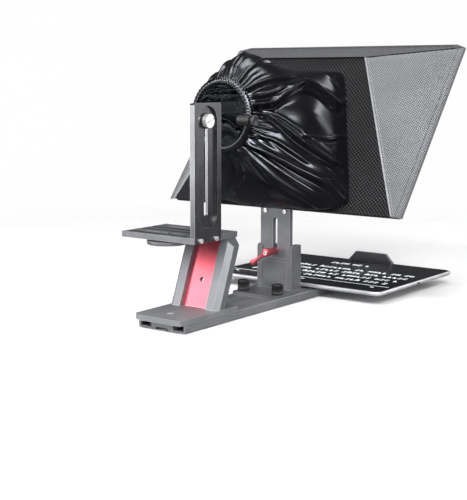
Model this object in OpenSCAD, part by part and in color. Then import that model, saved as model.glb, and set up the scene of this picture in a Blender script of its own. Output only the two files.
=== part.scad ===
// Tablet teleprompter: a tripod rail carries a camera riser, a height-adjustable column
// with a beam-splitter frame and fabric hood, and a spring-jawed holder for the tablet.
// Origin: centre of the tripod socket in the rail's underside. +X right, +Y towards the
// presenter, +Z up. Millimetres.

/* [Rail] */
// Width of the base rail
rail_w = 73; // [70:1:80]
// Height of the base rail
rail_h = 11.2; // [11:0.1:11.6]
// Rear end of the rail, behind the tripod socket
rail_rear = 177; // [175:1:185]
// Front end of the rail, ahead of the tripod socket
rail_front = 200; // [195:1:210]

/* [Camera riser] */
// Width across the riser's cheeks
riser_w = 76; // [74:1:80]
// Forward lean of the riser from upright, in degrees
riser_lean = 21.1; // [19:0.1:22]
// Height of the camera platform's underside
platform_z = 103; // [103:1:108]
// Width of the camera platform
platform_w = 116; // [112:1:120]
// Depth of the camera platform
platform_d = 85; // [82:1:88]
// Height of the top of the upright side plate
side_plate_top = 269; // [265:1:280]

/* [Column] */
// Width of the column bracket
bracket_w = 56; // [56:1:60]
// Width of the sliding column plate
slider_w = 47.8; // [47.6:0.1:47.9]
// Height of the sliding plate's top edge
slider_top = 124.5; // [124:0.5:124.5]

/* [Glass frame and hood] */
// Slope of the glass frame, in degrees
glass_slope = 52.1; // [52:0.1:52.2]
// Half the width of the glass frame
frame_hw = 182; // [180:1:182]
// Length of the glass frame up its slope
frame_len = 263; // [260:1:263]
// Half the width of the hood across its front hem
hood_hw = 188; // [188:1:190]
// Half the width of the hood's top rear edge
hood_rear_hw = 84.4; // [82:0.2:86]

/* [Tablet] */
// Long side of the tablet
tablet_w = 280.6; // [278:0.2:281]
// Short side of the tablet
tablet_d = 214.9; // [213:0.1:215]
// Thickness of the tablet
tablet_t = 6; // [5.8:0.1:6.4]

/* [Hidden] */
$fn = 48;

dark = [0.16, 0.16, 0.17];
grey = [0.32, 0.33, 0.35];
red = [0.72, 0.10, 0.16];
steel = [0.78, 0.79, 0.80];
black = [0.05, 0.05, 0.06];
cloth = [0.40, 0.41, 0.43];
eps = 0.01;

// Rail section
rail_hw = rail_w / 2;
cavity_in = 17;
cavity_out = 33.5;
cavity_z0 = 2.4;
cavity_z1 = 9.0;
channel_hw = 10;
channel_h = 3.2;
rod_x = 25.25;
rod_z = 5.7;
rod_r = 2;
run_gap = 0.05;

// Tripod insert
insert_hw = 9.8;
insert_hl = 32;
insert_h = 6;
socket_large_r = 4.76;
socket_small_r = 3.175;
socket_small_y = 20;

// Riser
foot_z0 = rail_h + 0.2;
foot_top = 17.8;
foot_rear = -189;
foot_front = -76;
riser_y0 = -120;
riser_depth = 17;
panel_hw = 20;
panel_d0 = 6;
panel_t = 3;
web_t = 4;
panel_hole_s = 37.7;
lock_screw_y = -161;
lock_screw_r = 2.5;
riser_fore = 45;
riser_aft = 8;

// Camera platform and side plate
platform_t = 7;
platform_x1 = 30;
platform_x0 = platform_x1 - platform_w;
platform_y0 = -152;
platform_y1 = platform_y0 + platform_d;
side_t = 7;
side_x0 = platform_x1 - side_t;
side_yc = -125;
side_hd = 25.5;
side_floor_x = 26.4;
side_screw_z = 248;
camera_stud_r = 3.175;
slot_r = 3.5;
cam_screw_x = -28;
cam_screw_y = -133;
cam_screw_left = 35;
cam_screw_right = 20;
side_screw_drop = 110;

// Column
bracket_hw = bracket_w / 2;
bracket_y0 = 56;
bracket_y1 = 79;
bracket_foot_z = 15.2;
bracket_top = 75;
slider_hw = slider_w / 2;
slider_y0 = 58;
slider_t = 6.6;
slider_z0 = 57;
slider_slot_top = 112;
slider_slot_bottom = 63.4;
lever_z = 67;
lever_y0 = 34;
lever_angle = -145;
bolt_r = 3;
knob_x = 28;
knob_y = 24;
slider_screw_x = 15.5;
slider_screw_z = 121;

// Tilt hinge
pin_y = 71;
pin_z = 114;
pin_r = 2;
lug_hw = 7.8;
ear_x0 = 8;
ear_x1 = 12;
ear_r = 4.2;
bracket_plate_z = pin_z - ear_r;

// Glass frame, in its own axes: u across, v up the slope, w off the glass
hem_y = 63.9;
hem_z = 124.6;
frame_v0 = 3;
frame_bar = 10;
frame_t = 8;
corner_l = 16;
glass_t = 3;
glass_w0 = -5.5;
groove_d = 6;
groove_t = 4.6;
weld_gap = 0.02;

// Hood corners, right side
hood_top_rear = [hood_rear_hw, 144.5, 324.6];
hood_front_top = [hood_hw, 229, 336.6];
hood_front_low = [hood_hw, hem_y, hem_z];
hood_rear_low = [176.7, 57.6, 126.8];
hood_t = 2.4;
rear_rise = hood_top_rear.z - hood_rear_low.z;
rear_run = hood_top_rear.y - hood_rear_low.y;
rear_slope = atan2(rear_rise, rear_run);
rear_len = norm([rear_rise, rear_run]);
top_slope = 9.85;

// Shroud: closed rings from its base on the rear panel to its mouth
shroud_n = 28;
shroud_rings = 9;
shroud_wall = 4;
shroud_z0 = 134;
shroud_z1 = 306;
shroud_hw0 = 115;
shroud_hw1 = 58;
shroud_side = 14;
shroud_belly = 28;
shroud_brow = 12;
shroud_blouse = 20;
mouth_c = [-20, -29, 251];
mouth_r = 44;
cord_r = 1.4;
lock_y = -46;
lock_z = 246;
lock_x0 = 16;
lock_x1 = 35;
lock_r = 6.8;

// Tablet and holder
tablet_hw = tablet_w / 2;
tablet_y0 = 97.6;
tablet_y1 = tablet_y0 + tablet_d;
tablet_z0 = 13;
tablet_z1 = tablet_z0 + tablet_t;
tablet_r = 12;
tablet_wall = 2.8;
jaw_y = tablet_y1 + 1.4;
jaw_t = 5;
jaw_top = 31.7;
button_yc = 290;
volume_xc = -108;

// Closed slab with four corners on each face: outer corners o, thickness t inwards
function slab_normal(o) = let(n = cross(o[1] - o[0], o[2] - o[0])) n / norm(n);
module slab(o, t) {
  n = slab_normal(o);
  polyhedron(
    points = [for (p = o) p, for (p = o) p - n * t],
    faces = [
      [2, 1, 0], [3, 2, 0], [4, 5, 6], [4, 6, 7],
      for (i = [0:3]) let(j = (i + 1) % 4) each [[i, j, j + 4], [i, j + 4, i + 4]]
    ]
  );
}

// Box from its low corner to its high corner
module span(a, b) {
  translate(a) cube(b - a);
}

module bar_x(r, x0, x1) {
  translate([x0, 0, 0]) rotate([0, 90, 0]) cylinder(r = r, h = x1 - x0);
}

module bar_y(r, y0, y1) {
  translate([0, y0, 0]) rotate([-90, 0, 0]) cylinder(r = r, h = y1 - y0);
}

// Rounded rectangle from exact arcs
module round_rect(hx, y0, y1, r) {
  for (sx = [-1, 1], y = [y0 + r, y1 - r]) translate([sx * (hx - r), y]) circle(r);
  translate([-hx, y0 + r]) square([2 * hx, y1 - y0 - 2 * r]);
  translate([-hx + r, y0]) square([2 * (hx - r), y1 - y0]);
}

// Slot with round ends between two points on one line
module slot2d(a, b, r) {
  translate(a) circle(r);
  translate(b) circle(r);
  d = b - a;
  translate(a) rotate(atan2(d.y, d.x)) translate([0, -r]) square([norm(d), 2 * r]);
}

// The riser leans forward about its near lower edge
module lean() {
  translate([0, riser_y0, foot_top]) rotate([-riser_lean, 0, 0]) children();
}

// The glass frame's own axes
module on_frame() {
  translate([0, hem_y, hem_z]) rotate([glass_slope, 0, 0]) children();
}

// ---- Base ----

module rail_section() {
  difference() {
    polygon([
      [-rail_hw + 1.2, 0], [rail_hw - 1.2, 0], [rail_hw, 1.2], [rail_hw, 7.2],
      [rail_hw - 0.8, 7.2], [rail_hw - 0.8, 8.0], [rail_hw, 8.0], [rail_hw, rail_h - 0.4],
      [rail_hw - 0.4, rail_h], [-rail_hw + 0.4, rail_h], [-rail_hw, rail_h - 0.4],
      [-rail_hw, 8.0], [-rail_hw + 0.8, 8.0], [-rail_hw + 0.8, 7.2], [-rail_hw, 7.2],
      [-rail_hw, 1.2]
    ]);
    translate([-channel_hw, -1]) square([2 * channel_hw, channel_h + 1]);
    for (s = [-1, 1])
      translate([s * (cavity_in + cavity_out) / 2 - (cavity_out - cavity_in) / 2, cavity_z0])
        square([cavity_out - cavity_in, cavity_z1 - cavity_z0]);
    for (x = [-14, -8, 8, 14]) translate([x - 0.5, rail_h - 0.6]) square([1, 1]);
  }
}

module base_rail() color(dark) {
  difference() {
    translate([0, rail_front, 0]) rotate([90, 0, 0])
      linear_extrude(rail_rear + rail_front) rail_section();
    span([-insert_hw, -insert_hl, -1], [insert_hw, insert_hl, insert_h]);
    translate([0, 0, channel_h - 1]) linear_extrude(20)
      slot2d([0, lock_screw_y - riser_aft], [0, lock_screw_y + riser_fore], 3.3);
    for (y = [-44, 46]) translate([0, y, channel_h - 1]) cylinder(r = 3.2, h = 20);
    for (s = [-1, 1]) translate([s * knob_x, knob_y, cavity_z1 - 1])
      cylinder(r = 2.5 + run_gap, h = 10);
  }
}

module tripod_insert() color(steel) {
  difference() {
    span([-insert_hw, -insert_hl, 0], [insert_hw, insert_hl, insert_h]);
    translate([0, 0, -1]) cylinder(r = socket_large_r, h = insert_h + 2);
    for (s = [-1, 1]) translate([0, s * socket_small_y, -1])
      cylinder(r = socket_small_r, h = insert_h + 2);
  }
}

module rod_bushes() color(black) {
  for (s = [-1, 1]) difference() {
    span([s * rod_x - 7.9, rail_front - 14, cavity_z0 + 0.1],
         [s * rod_x + 7.9, rail_front, cavity_z1 - 0.1]);
    translate([s * rod_x, 0, rod_z]) bar_y(rod_r + run_gap, rail_front - 15, rail_front + 1);
  }
}

module clamp_nuts() color(steel) {
  for (s = [-1, 1]) difference() {
    span([s * knob_x - 5, knob_y - 6, 5], [s * knob_x + 5, knob_y + 6, cavity_z1 - 0.1]);
    translate([s * knob_x, knob_y, 4]) cylinder(r = 2.5 + run_gap, h = 6);
  }
}

module jaw_spring(s) color(steel) {
  translate([s * rod_x, 0, rod_z]) difference() {
    bar_y(2.9, 50, 99.5);
    bar_y(2.2, 49, 101);
  }
}

module near_stop() color(dark) {
  span([-12, 88, rail_h], [12, 96.2, 23]);
}

module near_stop_pad() color(black) {
  span([-11, 96.2, 13], [11, tablet_y0 - 0.3, 22]);
}

module rest_pads() color(black) {
  for (y = [122, 184]) span([-30, y, rail_h], [30, y + 6, tablet_z0 - 0.1]);
}

module column_bracket() color(dark) {
  difference() {
    union() {
      translate([0, 0, rail_h]) linear_extrude(bracket_foot_z - rail_h)
        round_rect(rail_hw - 0.5, 8, 81, 4);
      span([-bracket_hw, bracket_y0, bracket_foot_z - eps], [bracket_hw, bracket_y1, bracket_top]);
    }
    // Guide for the sliding plate
    span([-slider_hw - 0.2, slider_y0 - 0.1, bracket_foot_z],
         [slider_hw + 0.2, slider_y0 + slider_t + 0.2, bracket_top + 1]);
    // Window at the near side, with a shallow recess below its ledge
    span([-20, bracket_y0 - 1, slider_z0 + 1], [20, slider_y0, bracket_top + 1]);
    span([-20, bracket_y0 - 1, bracket_foot_z], [20, bracket_y0 + 1, slider_z0 - 4]);
    // Hollow behind the clamping wall
    span([-20, 71, bracket_foot_z], [20, bracket_y1 + 1, bracket_top + 1]);
    // Chamfered tops of the uprights
    translate([0, bracket_y0, bracket_top]) rotate([45, 0, 0])
      cube([bracket_w + 2, 4, 4], center = true);
    translate([0, 0, lever_z]) bar_y(bolt_r + run_gap, 60, 75);
    for (s = [-1, 1]) translate([s * knob_x, knob_y, rail_h - 1])
      cylinder(r = 2.5 + run_gap, h = 6);
    for (x = [-10, 10]) translate([x, 44, bracket_foot_z - 1.2]) cylinder(r = 3, h = 2);
  }
}

// ---- Camera riser ----

module riser_foot() color(grey) {
  difference() {
    translate([0, 0, foot_z0]) linear_extrude(foot_top - foot_z0) polygon([
      [-riser_w / 2 + 8, foot_rear], [riser_w / 2 - 2, foot_rear], [riser_w / 2, foot_rear + 2],
      [riser_w / 2, foot_front], [-riser_w / 2, foot_front], [-riser_w / 2, foot_rear + 8]
    ]);
    translate([0, lock_screw_y, foot_z0 - 1]) cylinder(r = lock_screw_r + 0.05, h = 20);
    translate([0, lock_screw_y, foot_top - 2.6]) cylinder(r = 4.6, h = 4);
  }
}

// One cheek's plan section, mirrored for the other side
module cheek_section() {
  w = riser_w / 2;
  polygon([[panel_hw, 0], [w - 6, 0], [w, 6], [w, riser_depth - 1], [w - 1, riser_depth],
    [panel_hw, riser_depth]]);
}

module riser_frame() color(grey) {
  difference() {
    intersection() {
      span([-riser_w, -200, foot_top], [riser_w, 0, platform_z]);
      lean() translate([0, 0, -20]) linear_extrude(140) {
        cheek_section();
        mirror([1, 0]) cheek_section();
        translate([-panel_hw - eps, panel_d0 + panel_t])
          square([2 * panel_hw + 2 * eps, web_t]);
      }
    }
    for (s = [-1, 1]) translate([s * riser_w / 2, 0, platform_z]) rotate([0, 45, 0])
      cube([14, 300, 14], center = true);
    lean() translate([0, 0, panel_hole_s]) bar_y(4.2, panel_d0 + panel_t - 1, riser_depth);
  }
}

module riser_panel() color(red) {
  difference() {
    intersection() {
      span([-riser_w, -200, foot_top], [riser_w, 0, platform_z]);
      lean() translate([0, 0, -20]) linear_extrude(140)
        translate([-panel_hw, panel_d0]) square([2 * panel_hw, panel_t]);
    }
    lean() translate([0, 0, panel_hole_s]) bar_y(socket_small_r, 0, riser_depth);
  }
}

module riser_lock_screw() color(steel) {
  difference() {
    union() {
      translate([0, lock_screw_y, 0.6]) cylinder(r = lock_screw_r, h = foot_top - 2.6 - 0.6);
      translate([0, lock_screw_y, foot_top - 2.6]) cylinder(r = 4.4, h = 2.6);
    }
    translate([0, lock_screw_y, foot_top - 1.6]) cylinder(r = 2, h = 3, $fn = 6);
  }
}

module riser_lock_nut() color(steel) {
  difference() {
    span([-9.4, lock_screw_y - 7, 0.4], [9.4, lock_screw_y + 7, channel_h - 0.2]);
    translate([0, lock_screw_y, 0]) cylinder(r = lock_screw_r, h = 5);
  }
}

module camera_platform() color(grey) {
  difference() {
    span([platform_x0, platform_y0, platform_z],
         [platform_x1, platform_y1, platform_z + platform_t]);
    // Seat for the side plate
    span([side_x0, side_yc - side_hd, platform_z - 1],
         [platform_x1 + 1, side_yc + side_hd, platform_z + platform_t + 1]);
    // Camera screw slot and its relief
    translate([0, 0, platform_z - 1]) linear_extrude(20)
      slot2d([cam_screw_x - cam_screw_left, cam_screw_y],
             [cam_screw_x + cam_screw_right, cam_screw_y], slot_r);
    // Second slot towards the presenter
    translate([0, 0, platform_z - 1]) linear_extrude(20)
      slot2d([-66, -84], [-8, -84], slot_r);
    // Seats for the rubber strips
    for (y = [-147, -120, -102]) span([-80, y, platform_z + platform_t - 1], [12, y + 6, 120]);
    for (y = [side_yc - 15, side_yc + 15]) translate([0, y, platform_z + 3])
      bar_x(1.6, side_x0 - 10, side_x0 + 1);
  }
}

module platform_pads() color(black) {
  for (y = [-147, -120, -102])
    span([-80, y, platform_z + platform_t - 1], [12, y + 6, platform_z + platform_t + 0.6]);
}

module side_plate() color(dark) {
  difference() {
    translate([side_x0, side_yc, platform_z]) rotate([90, 0, 90]) linear_extrude(side_t)
      round_rect(side_hd, 0, side_plate_top - platform_z, 3);
    // Recess in the outer face, round at both ends
    translate([side_floor_x, side_yc, 0]) rotate([90, 0, 90]) linear_extrude(10)
      slot2d([0, 138], [0, side_screw_z], 18);
    // Through slot for the camera screw
    translate([side_x0 - 1, side_yc, 0]) rotate([90, 0, 90]) linear_extrude(20)
      slot2d([0, side_screw_z - side_screw_drop - 0.5], [0, side_screw_z + 0.5], slot_r);
    for (y = [side_yc - 15, side_yc + 15]) translate([0, y, platform_z + 3])
      bar_x(1.6, side_x0 - 1, platform_x1 + 1);
  }
}

module side_plate_screws() color(steel) {
  for (y = [side_yc - 15, side_yc + 15]) translate([0, y, platform_z + 3]) difference() {
    union() {
      bar_x(1.6, side_x0 - 9, platform_x1);
      bar_x(2.9, platform_x1, platform_x1 + 2.4);
    }
    translate([platform_x1 + 1, 0, 0]) rotate([0, 90, 0]) cylinder(r = 1.5, h = 3, $fn = 6);
  }
}

module camera_screw_washer() color(black) {
  translate([cam_screw_x, cam_screw_y, platform_z - 1.4]) difference() {
    cylinder(r = 8, h = 1.2);
    translate([0, 0, -1]) cylinder(r = camera_stud_r + run_gap, h = 4);
  }
}

// Wide thumb disc under the platform with the camera thread through it
module camera_screw() color(steel) {
  translate([cam_screw_x, cam_screw_y, 0]) difference() {
    union() {
      translate([0, 0, platform_z - 6]) cylinder(r1 = 24, r2 = 25, h = 1.5);
      translate([0, 0, platform_z - 4.5]) cylinder(r = 25, h = 2.9);
      translate([0, 0, platform_z - 8.5]) cylinder(r = 4.6, h = 3);
      translate([0, 0, platform_z - 6]) cylinder(r = camera_stud_r, h = platform_t + 6.8);
    }
    span([-6, -0.7, platform_z - 9], [6, 0.7, platform_z - 7]);
  }
}

module side_screw_washer() color(black) {
  translate([0, side_yc, side_screw_z]) difference() {
    bar_x(9.5, side_floor_x + 0.2, side_floor_x + 1.4);
    bar_x(camera_stud_r + run_gap, side_floor_x, side_floor_x + 3);
  }
}

module side_camera_screw() color(steel) {
  translate([0, side_yc, side_screw_z]) difference() {
    union() {
      bar_x(8.2, side_floor_x + 1.6, side_floor_x + 7.2);
      bar_x(camera_stud_r, side_x0 - 6, side_floor_x + 2);
    }
    rotate([20, 0, 0]) span([side_floor_x + 5.7, -9, -0.8], [side_floor_x + 8, 9, 0.8]);
  }
}

// ---- Column ----

module lock_lever() color(red) {
  difference() {
    union() {
      translate([0, 0, lever_z]) bar_y(5, lever_y0 + 6, slider_y0 - 0.4);
      translate([0, 0, lever_z]) bar_y(5.8, lever_y0, lever_y0 + 7);
      translate([0, lever_y0 + 6, lever_z]) rotate([90, 0, 0]) linear_extrude(5)
        rotate(lever_angle) polygon([[2, -3], [14, -1.9], [24, -3.4], [29, -4.2], [31, -3],
          [31, 3], [29, 4.2], [24, 3.4], [14, 1.9], [2, 3]]);
    }
    translate([0, 0, lever_z]) bar_y(bolt_r, lever_y0 - 1, slider_y0 + 1);
  }
}

module lock_bolt() color(steel) {
  difference() {
    translate([0, 0, lever_z]) bar_y(bolt_r, lever_y0 + 0.6, 70.6);
    translate([0, lever_y0, lever_z]) rotate([-90, 0, 0]) cylinder(r = 1.5, h = 3, $fn = 6);
  }
}

// Knurled thumb knob with its clamping stud
module clamp_knob(s) color(black) {
  translate([s * knob_x, knob_y, 0]) {
    difference() {
      translate([0, 0, bracket_foot_z + 0.2]) cylinder(r = 7.6, h = 13.6);
      for (a = [0:20:340]) rotate(a) translate([7.9, 0, bracket_foot_z + 1.6])
        cylinder(r = 0.7, h = 11, $fn = 16);
    }
    translate([0, 0, 5.2]) cylinder(r = 2.5, h = bracket_foot_z - 4.8);
  }
}

module column_slider() color(grey) {
  difference() {
    span([-slider_hw, slider_y0, slider_z0], [slider_hw, slider_y0 + slider_t, slider_top]);
    translate([0, slider_y0 + slider_t + 1, 0]) rotate([90, 0, 0]) linear_extrude(slider_t + 2)
      slot2d([0, slider_slot_bottom + slot_r], [0, slider_slot_top - slot_r], slot_r);
    for (s = [-1, 1]) translate([s * slider_screw_x, 0, slider_screw_z])
      bar_y(1.5, slider_y0 - 1, slider_y0 + slider_t + 1);
  }
}

module slider_screws() color(steel) {
  for (s = [-1, 1]) translate([s * slider_screw_x, 0, slider_screw_z]) difference() {
    union() {
      bar_y(2.8, slider_y0 - 1.8, slider_y0);
      bar_y(1.5, slider_y0, slider_y0 + slider_t + 2.2);
    }
    translate([0, slider_y0 - 2, 0]) rotate([-90, 0, 0]) cylinder(r = 1.3, h = 1.2, $fn = 6);
  }
}

module tilt_bracket() color(dark) {
  plate_y = slider_y0 + slider_t;
  difference() {
    union() {
      span([-19, plate_y, bracket_plate_z], [19, plate_y + 2.2, slider_top - 0.5]);
      for (s = [-1, 1]) {
        x0 = s > 0 ? ear_x0 : -ear_x1;
        span([x0, plate_y + 2, pin_z - ear_r], [x0 + ear_x1 - ear_x0, pin_y, pin_z + ear_r]);
        translate([0, pin_y, pin_z]) bar_x(ear_r, x0, x0 + ear_x1 - ear_x0);
      }
    }
    translate([0, pin_y, pin_z]) bar_x(pin_r, -20, 20);
    for (s = [-1, 1]) translate([s * slider_screw_x, 0, slider_screw_z])
      bar_y(1.5, plate_y - 1, plate_y + 4);
  }
}

module tilt_pin() color(steel) {
  translate([0, pin_y, pin_z]) bar_x(pin_r, -ear_x1 - 0.6, ear_x1 + 0.6);
}

// ---- Glass frame ----

// Straight member with a groove for the glass along its inner side
module frame_groove() {
  span([-frame_hw + frame_bar - groove_d, frame_v0 + frame_bar - groove_d, glass_w0 - 0.8],
       [frame_hw - frame_bar + groove_d, frame_v0 + frame_len - frame_bar + groove_d,
        glass_w0 - 0.8 + groove_t]);
}

module frame_bottom_rail() color(dark) on_frame() difference() {
  span([-frame_hw + corner_l, frame_v0, -frame_t],
       [frame_hw - corner_l, frame_v0 + frame_bar, 0]);
  frame_groove();
}

module frame_top_rail() color(dark) on_frame() difference() {
  span([-frame_hw + corner_l, frame_v0 + frame_len - frame_bar, -frame_t],
       [frame_hw - corner_l, frame_v0 + frame_len, 0]);
  frame_groove();
}

module frame_side_rail(s) color(dark) on_frame() difference() {
  x0 = s > 0 ? frame_hw - frame_bar : -frame_hw;
  span([x0, frame_v0 + corner_l, -frame_t],
       [x0 + frame_bar, frame_v0 + frame_len - corner_l, 0]);
  frame_groove();
}

module frame_corners() color(black) on_frame() difference() {
  for (s = [-1, 1], t = [-1, 1]) translate([0, frame_v0 + frame_len / 2, 0]) {
    x0 = s > 0 ? frame_hw - corner_l : -frame_hw;
    x1 = s > 0 ? frame_hw - frame_bar : -frame_hw;
    v0 = t > 0 ? frame_len / 2 - frame_bar : -frame_len / 2;
    v1 = t > 0 ? frame_len / 2 - corner_l : -frame_len / 2;
    span([x0, v0, -frame_t], [x0 + corner_l, v0 + frame_bar, 0]);
    span([x1, v1, -frame_t], [x1 + frame_bar, v1 + corner_l, 0]);
  }
  frame_groove();
}

// Where a point at (v, w) on the frame's own axes lies in the YZ plane
function frame_yz(v, w) = [
  hem_y + v * cos(glass_slope) - w * sin(glass_slope),
  hem_z + v * sin(glass_slope) + w * cos(glass_slope)
];

// Lug under the bottom member, around the tilt pin
module frame_hinge_lug() color(dark) difference() {
  union() {
    translate([0, pin_y, pin_z]) bar_x(3.7, -lug_hw, lug_hw);
    translate([-lug_hw, 0, 0]) rotate([90, 0, 90]) linear_extrude(2 * lug_hw) polygon([
      [pin_y - 3.5, pin_z], [pin_y + 3.6, pin_z], frame_yz(frame_v0 + 5.4, -frame_t - weld_gap),
      frame_yz(frame_v0 - weld_gap, -frame_t - weld_gap), frame_yz(frame_v0 - weld_gap, -3.2)
    ]);
  }
  translate([0, pin_y, pin_z]) bar_x(pin_r + run_gap, -10, 10);
}

module glass_gasket() color(black) on_frame() difference() {
  frame_groove();
  span([-frame_hw + frame_bar, frame_v0 + frame_bar, -9],
       [frame_hw - frame_bar, frame_v0 + frame_len - frame_bar, 1]);
  glass_slab();
}

module glass_slab() {
  edge = frame_bar - groove_d + 1.2;
  span([-frame_hw + edge, frame_v0 + edge, glass_w0],
       [frame_hw - edge, frame_v0 + frame_len - edge, glass_w0 + glass_t]);
}

module beam_splitter() color([0.7, 0.8, 0.85, 0.4]) on_frame() glass_slab();

// ---- Hood ----

module hood_rear_panel() color(black)
  translate([0, hood_rear_low.y, hood_rear_low.z]) rotate([rear_slope, 0, 0])
    translate([0, 0, -hood_t]) linear_extrude(hood_t) difference() {
      polygon([
        [-hood_rear_low.x + 2, 0], [hood_rear_low.x - 2, 0],
        [hood_top_rear.x - 2, rear_len], [-hood_top_rear.x + 2, rear_len]
      ]);
      // Opening that the shroud is sewn around
      polygon([[-84, 22], [84, 22], [48, 172], [-48, 172]]);
    }

module hood_top_panel() color(cloth)
  translate([0, hood_top_rear.y, hood_top_rear.z]) rotate([top_slope, 0, 0])
    translate([0, 0, 0.3]) linear_extrude(hood_t) polygon([
      [-hood_top_rear.x, -2], [hood_top_rear.x, -2], [hood_hw, 85.8], [172, 95.9],
      [-172, 95.9], [-hood_hw, 85.8]
    ]);

module hood_side_panel(m) {
  q = [hood_front_low, hood_front_top, hood_top_rear, hood_rear_low];
  if (m) mirror([1, 0, 0]) slab(q, hood_t);
  else slab(q, hood_t);
}

// Outline of the shroud's base on the rear panel, and of its mouth, at angle a
function soft_corner(c) = sign(c) * pow(abs(c), 0.55);
function base_pt(a) =
  let(z = (shroud_z0 + shroud_z1) / 2 + (shroud_z1 - shroud_z0) / 2 * soft_corner(sin(a)),
      k = (z - shroud_z0) / (shroud_z1 - shroud_z0),
      hw = shroud_hw0 + (shroud_hw1 - shroud_hw0) * k)
  [hw * soft_corner(cos(a)), hood_rear_low.y + (z - hood_rear_low.z) / tan(rear_slope) - 1.6, z];
function mouth_pt(a, r) = mouth_c + [r * cos(a), 0, r * sin(a)];
// How far the slack cloth stands out there; it blouses over the top of the mouth
function blouse(t) = exp(-pow((t - 0.78) / 0.2, 2)) * min(1, (1 - t) / 0.12);
function swell(t, a) = let(s = sin(a)) [shroud_side * cos(a) * sin(180 * t), 0,
  s < 0 ? -shroud_belly * s * s * sin(180 * pow(t, 0.8))
    : shroud_brow * s * sin(180 * t) + shroud_blouse * pow(s, 3) * blouse(t)];
function shroud_pt(t, a) = base_pt(a) * (1 - t) + mouth_pt(a, mouth_r) * t + swell(t, a);
function shroud_axis(t) = [-20 * t, 100 * (1 - t) + mouth_c.y * t, 222 * (1 - t) + 251 * t];
function inset(p, c) = p - (p - c) / norm(p - c) * shroud_wall;

module lens_shroud() color(black) {
  n = shroud_n;
  m = shroud_rings;
  outer = [for (i = [0:m - 1], j = [0:n - 1]) shroud_pt(i / (m - 1), 360 * j / n)];
  inner = [for (i = [0:m - 1], j = [0:n - 1]) let(t = i / (m - 1), p = outer[i * n + j],
    c = shroud_axis(t)) inset(p, [c.x, p.y, c.z])];
  k = m * n;
  polyhedron(
    points = concat(outer, inner),
    faces = [
      for (i = [0:m - 2], j = [0:n - 1]) let(a = i * n + j, b = i * n + (j + 1) % n)
        each [[a, b, b + n], [a, b + n, a + n], [k + a, k + b + n, k + b], [k + a, k + a + n, k + b + n]],
      for (j = [0:n - 1]) let(b = (j + 1) % n, e = (m - 1) * n)
        each [[j, k + j, k + b], [j, k + b, b], [e + j, e + b, k + e + b], [e + j, k + e + b, k + e + j]]
    ]
  );
}

module draw_cord() color(black)
  translate(mouth_c) rotate([90, 0, 0]) rotate_extrude($fn = 64)
    translate([mouth_r + 2 * cord_r + 0.6, 0]) circle(cord_r, $fn = 12);

module cord_lock_barrel() color(black) translate([0, lock_y, lock_z]) difference() {
  bar_x(lock_r, lock_x0, lock_x1);
  bar_x(lock_r - 1.2, lock_x0 + 3, lock_x1 + 1);
  translate([lock_x0 + 8, 0, 0]) bar_y(1.6, -10, 10);
}

module cord_lock_button() color(grey) translate([0, lock_y, lock_z]) {
  bar_x(lock_r - 1.3, lock_x0 + 11, lock_x1 + 6);
  bar_x(lock_r, lock_x1 + 4, lock_x1 + 8);
}

// ---- Tablet holder ----

module guide_rods() color(steel) {
  for (s = [-1, 1]) translate([s * rod_x, 0, rod_z]) bar_y(rod_r, 100, jaw_y + 3);
}

module jaw_crossbar() color(dark) difference() {
  span([-36, jaw_y - 10, 1.5], [36, jaw_y + jaw_t, tablet_z0 - 0.2]);
  for (s = [-1, 1]) translate([s * rod_x, 0, rod_z]) bar_y(rod_r, jaw_y - 12, jaw_y + 3);
}

module far_jaw() color(dark)
  translate([0, jaw_y + jaw_t, 0]) rotate([90, 0, 0]) linear_extrude(jaw_t) polygon([
    [-38, tablet_z0 - 0.2], [38, tablet_z0 - 0.2], [38, 19], [26, jaw_top], [-26, jaw_top],
    [-38, 19]
  ]);

module jaw_pad() color(black)
  span([-34, tablet_y1 + 0.3, tablet_z0 + 0.5], [34, jaw_y, tablet_z1 + 1]);

// ---- Tablet ----

module tablet_shell() color(steel) difference() {
  translate([0, 0, tablet_z0]) linear_extrude(tablet_t)
    round_rect(tablet_hw, tablet_y0, tablet_y1, tablet_r);
  translate([0, 0, tablet_z0 + 1]) linear_extrude(tablet_t) round_rect(tablet_hw - tablet_wall,
    tablet_y0 + tablet_wall, tablet_y1 - tablet_wall, tablet_r - tablet_wall);
  // Charging port in the right-hand short side
  translate([tablet_hw - 5, (tablet_y0 + tablet_y1) / 2, tablet_z0 + 3]) rotate([90, 0, 90])
    linear_extrude(10) slot2d([-3, 0], [3, 0], 1.3);
  span([-tablet_hw - 1, button_yc - 6.2, 14.9], [-tablet_hw + 5, button_yc + 6.2, 17.1]);
  span([volume_xc - 12.2, tablet_y1 - 5, 14.9], [volume_xc + 12.2, tablet_y1 + 1, 17.1]);
}

module tablet_glass() color(black) translate([0, 0, tablet_z1 - 0.8]) linear_extrude(0.8)
  round_rect(tablet_hw - tablet_wall - 0.1, tablet_y0 + tablet_wall + 0.1,
    tablet_y1 - tablet_wall - 0.1, tablet_r - tablet_wall);

module tablet_display() color(black)
  span([-131, tablet_y0 + 9, tablet_z0 + 4], [131, tablet_y1 - 9, tablet_z1 - 0.9]);

module tablet_battery() color(grey)
  for (x = [-84, 4]) span([x, tablet_y0 + 20, tablet_z0 + 1.1], [x + 80, tablet_y1 - 20, 16.8]);

module tablet_board() color([0.05, 0.3, 0.15])
  span([90, tablet_y0 + 20, tablet_z0 + 1.1], [126, tablet_y1 - 20, 16]);

module power_button() color(steel)
  span([-tablet_hw - 0.7, button_yc - 6, 15], [-tablet_hw + 2.2, button_yc + 6, 17]);

module volume_button() color(steel)
  span([volume_xc - 12, tablet_y1 - 2.2, 15], [volume_xc + 12, tablet_y1 + 0.7, 17]);

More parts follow.
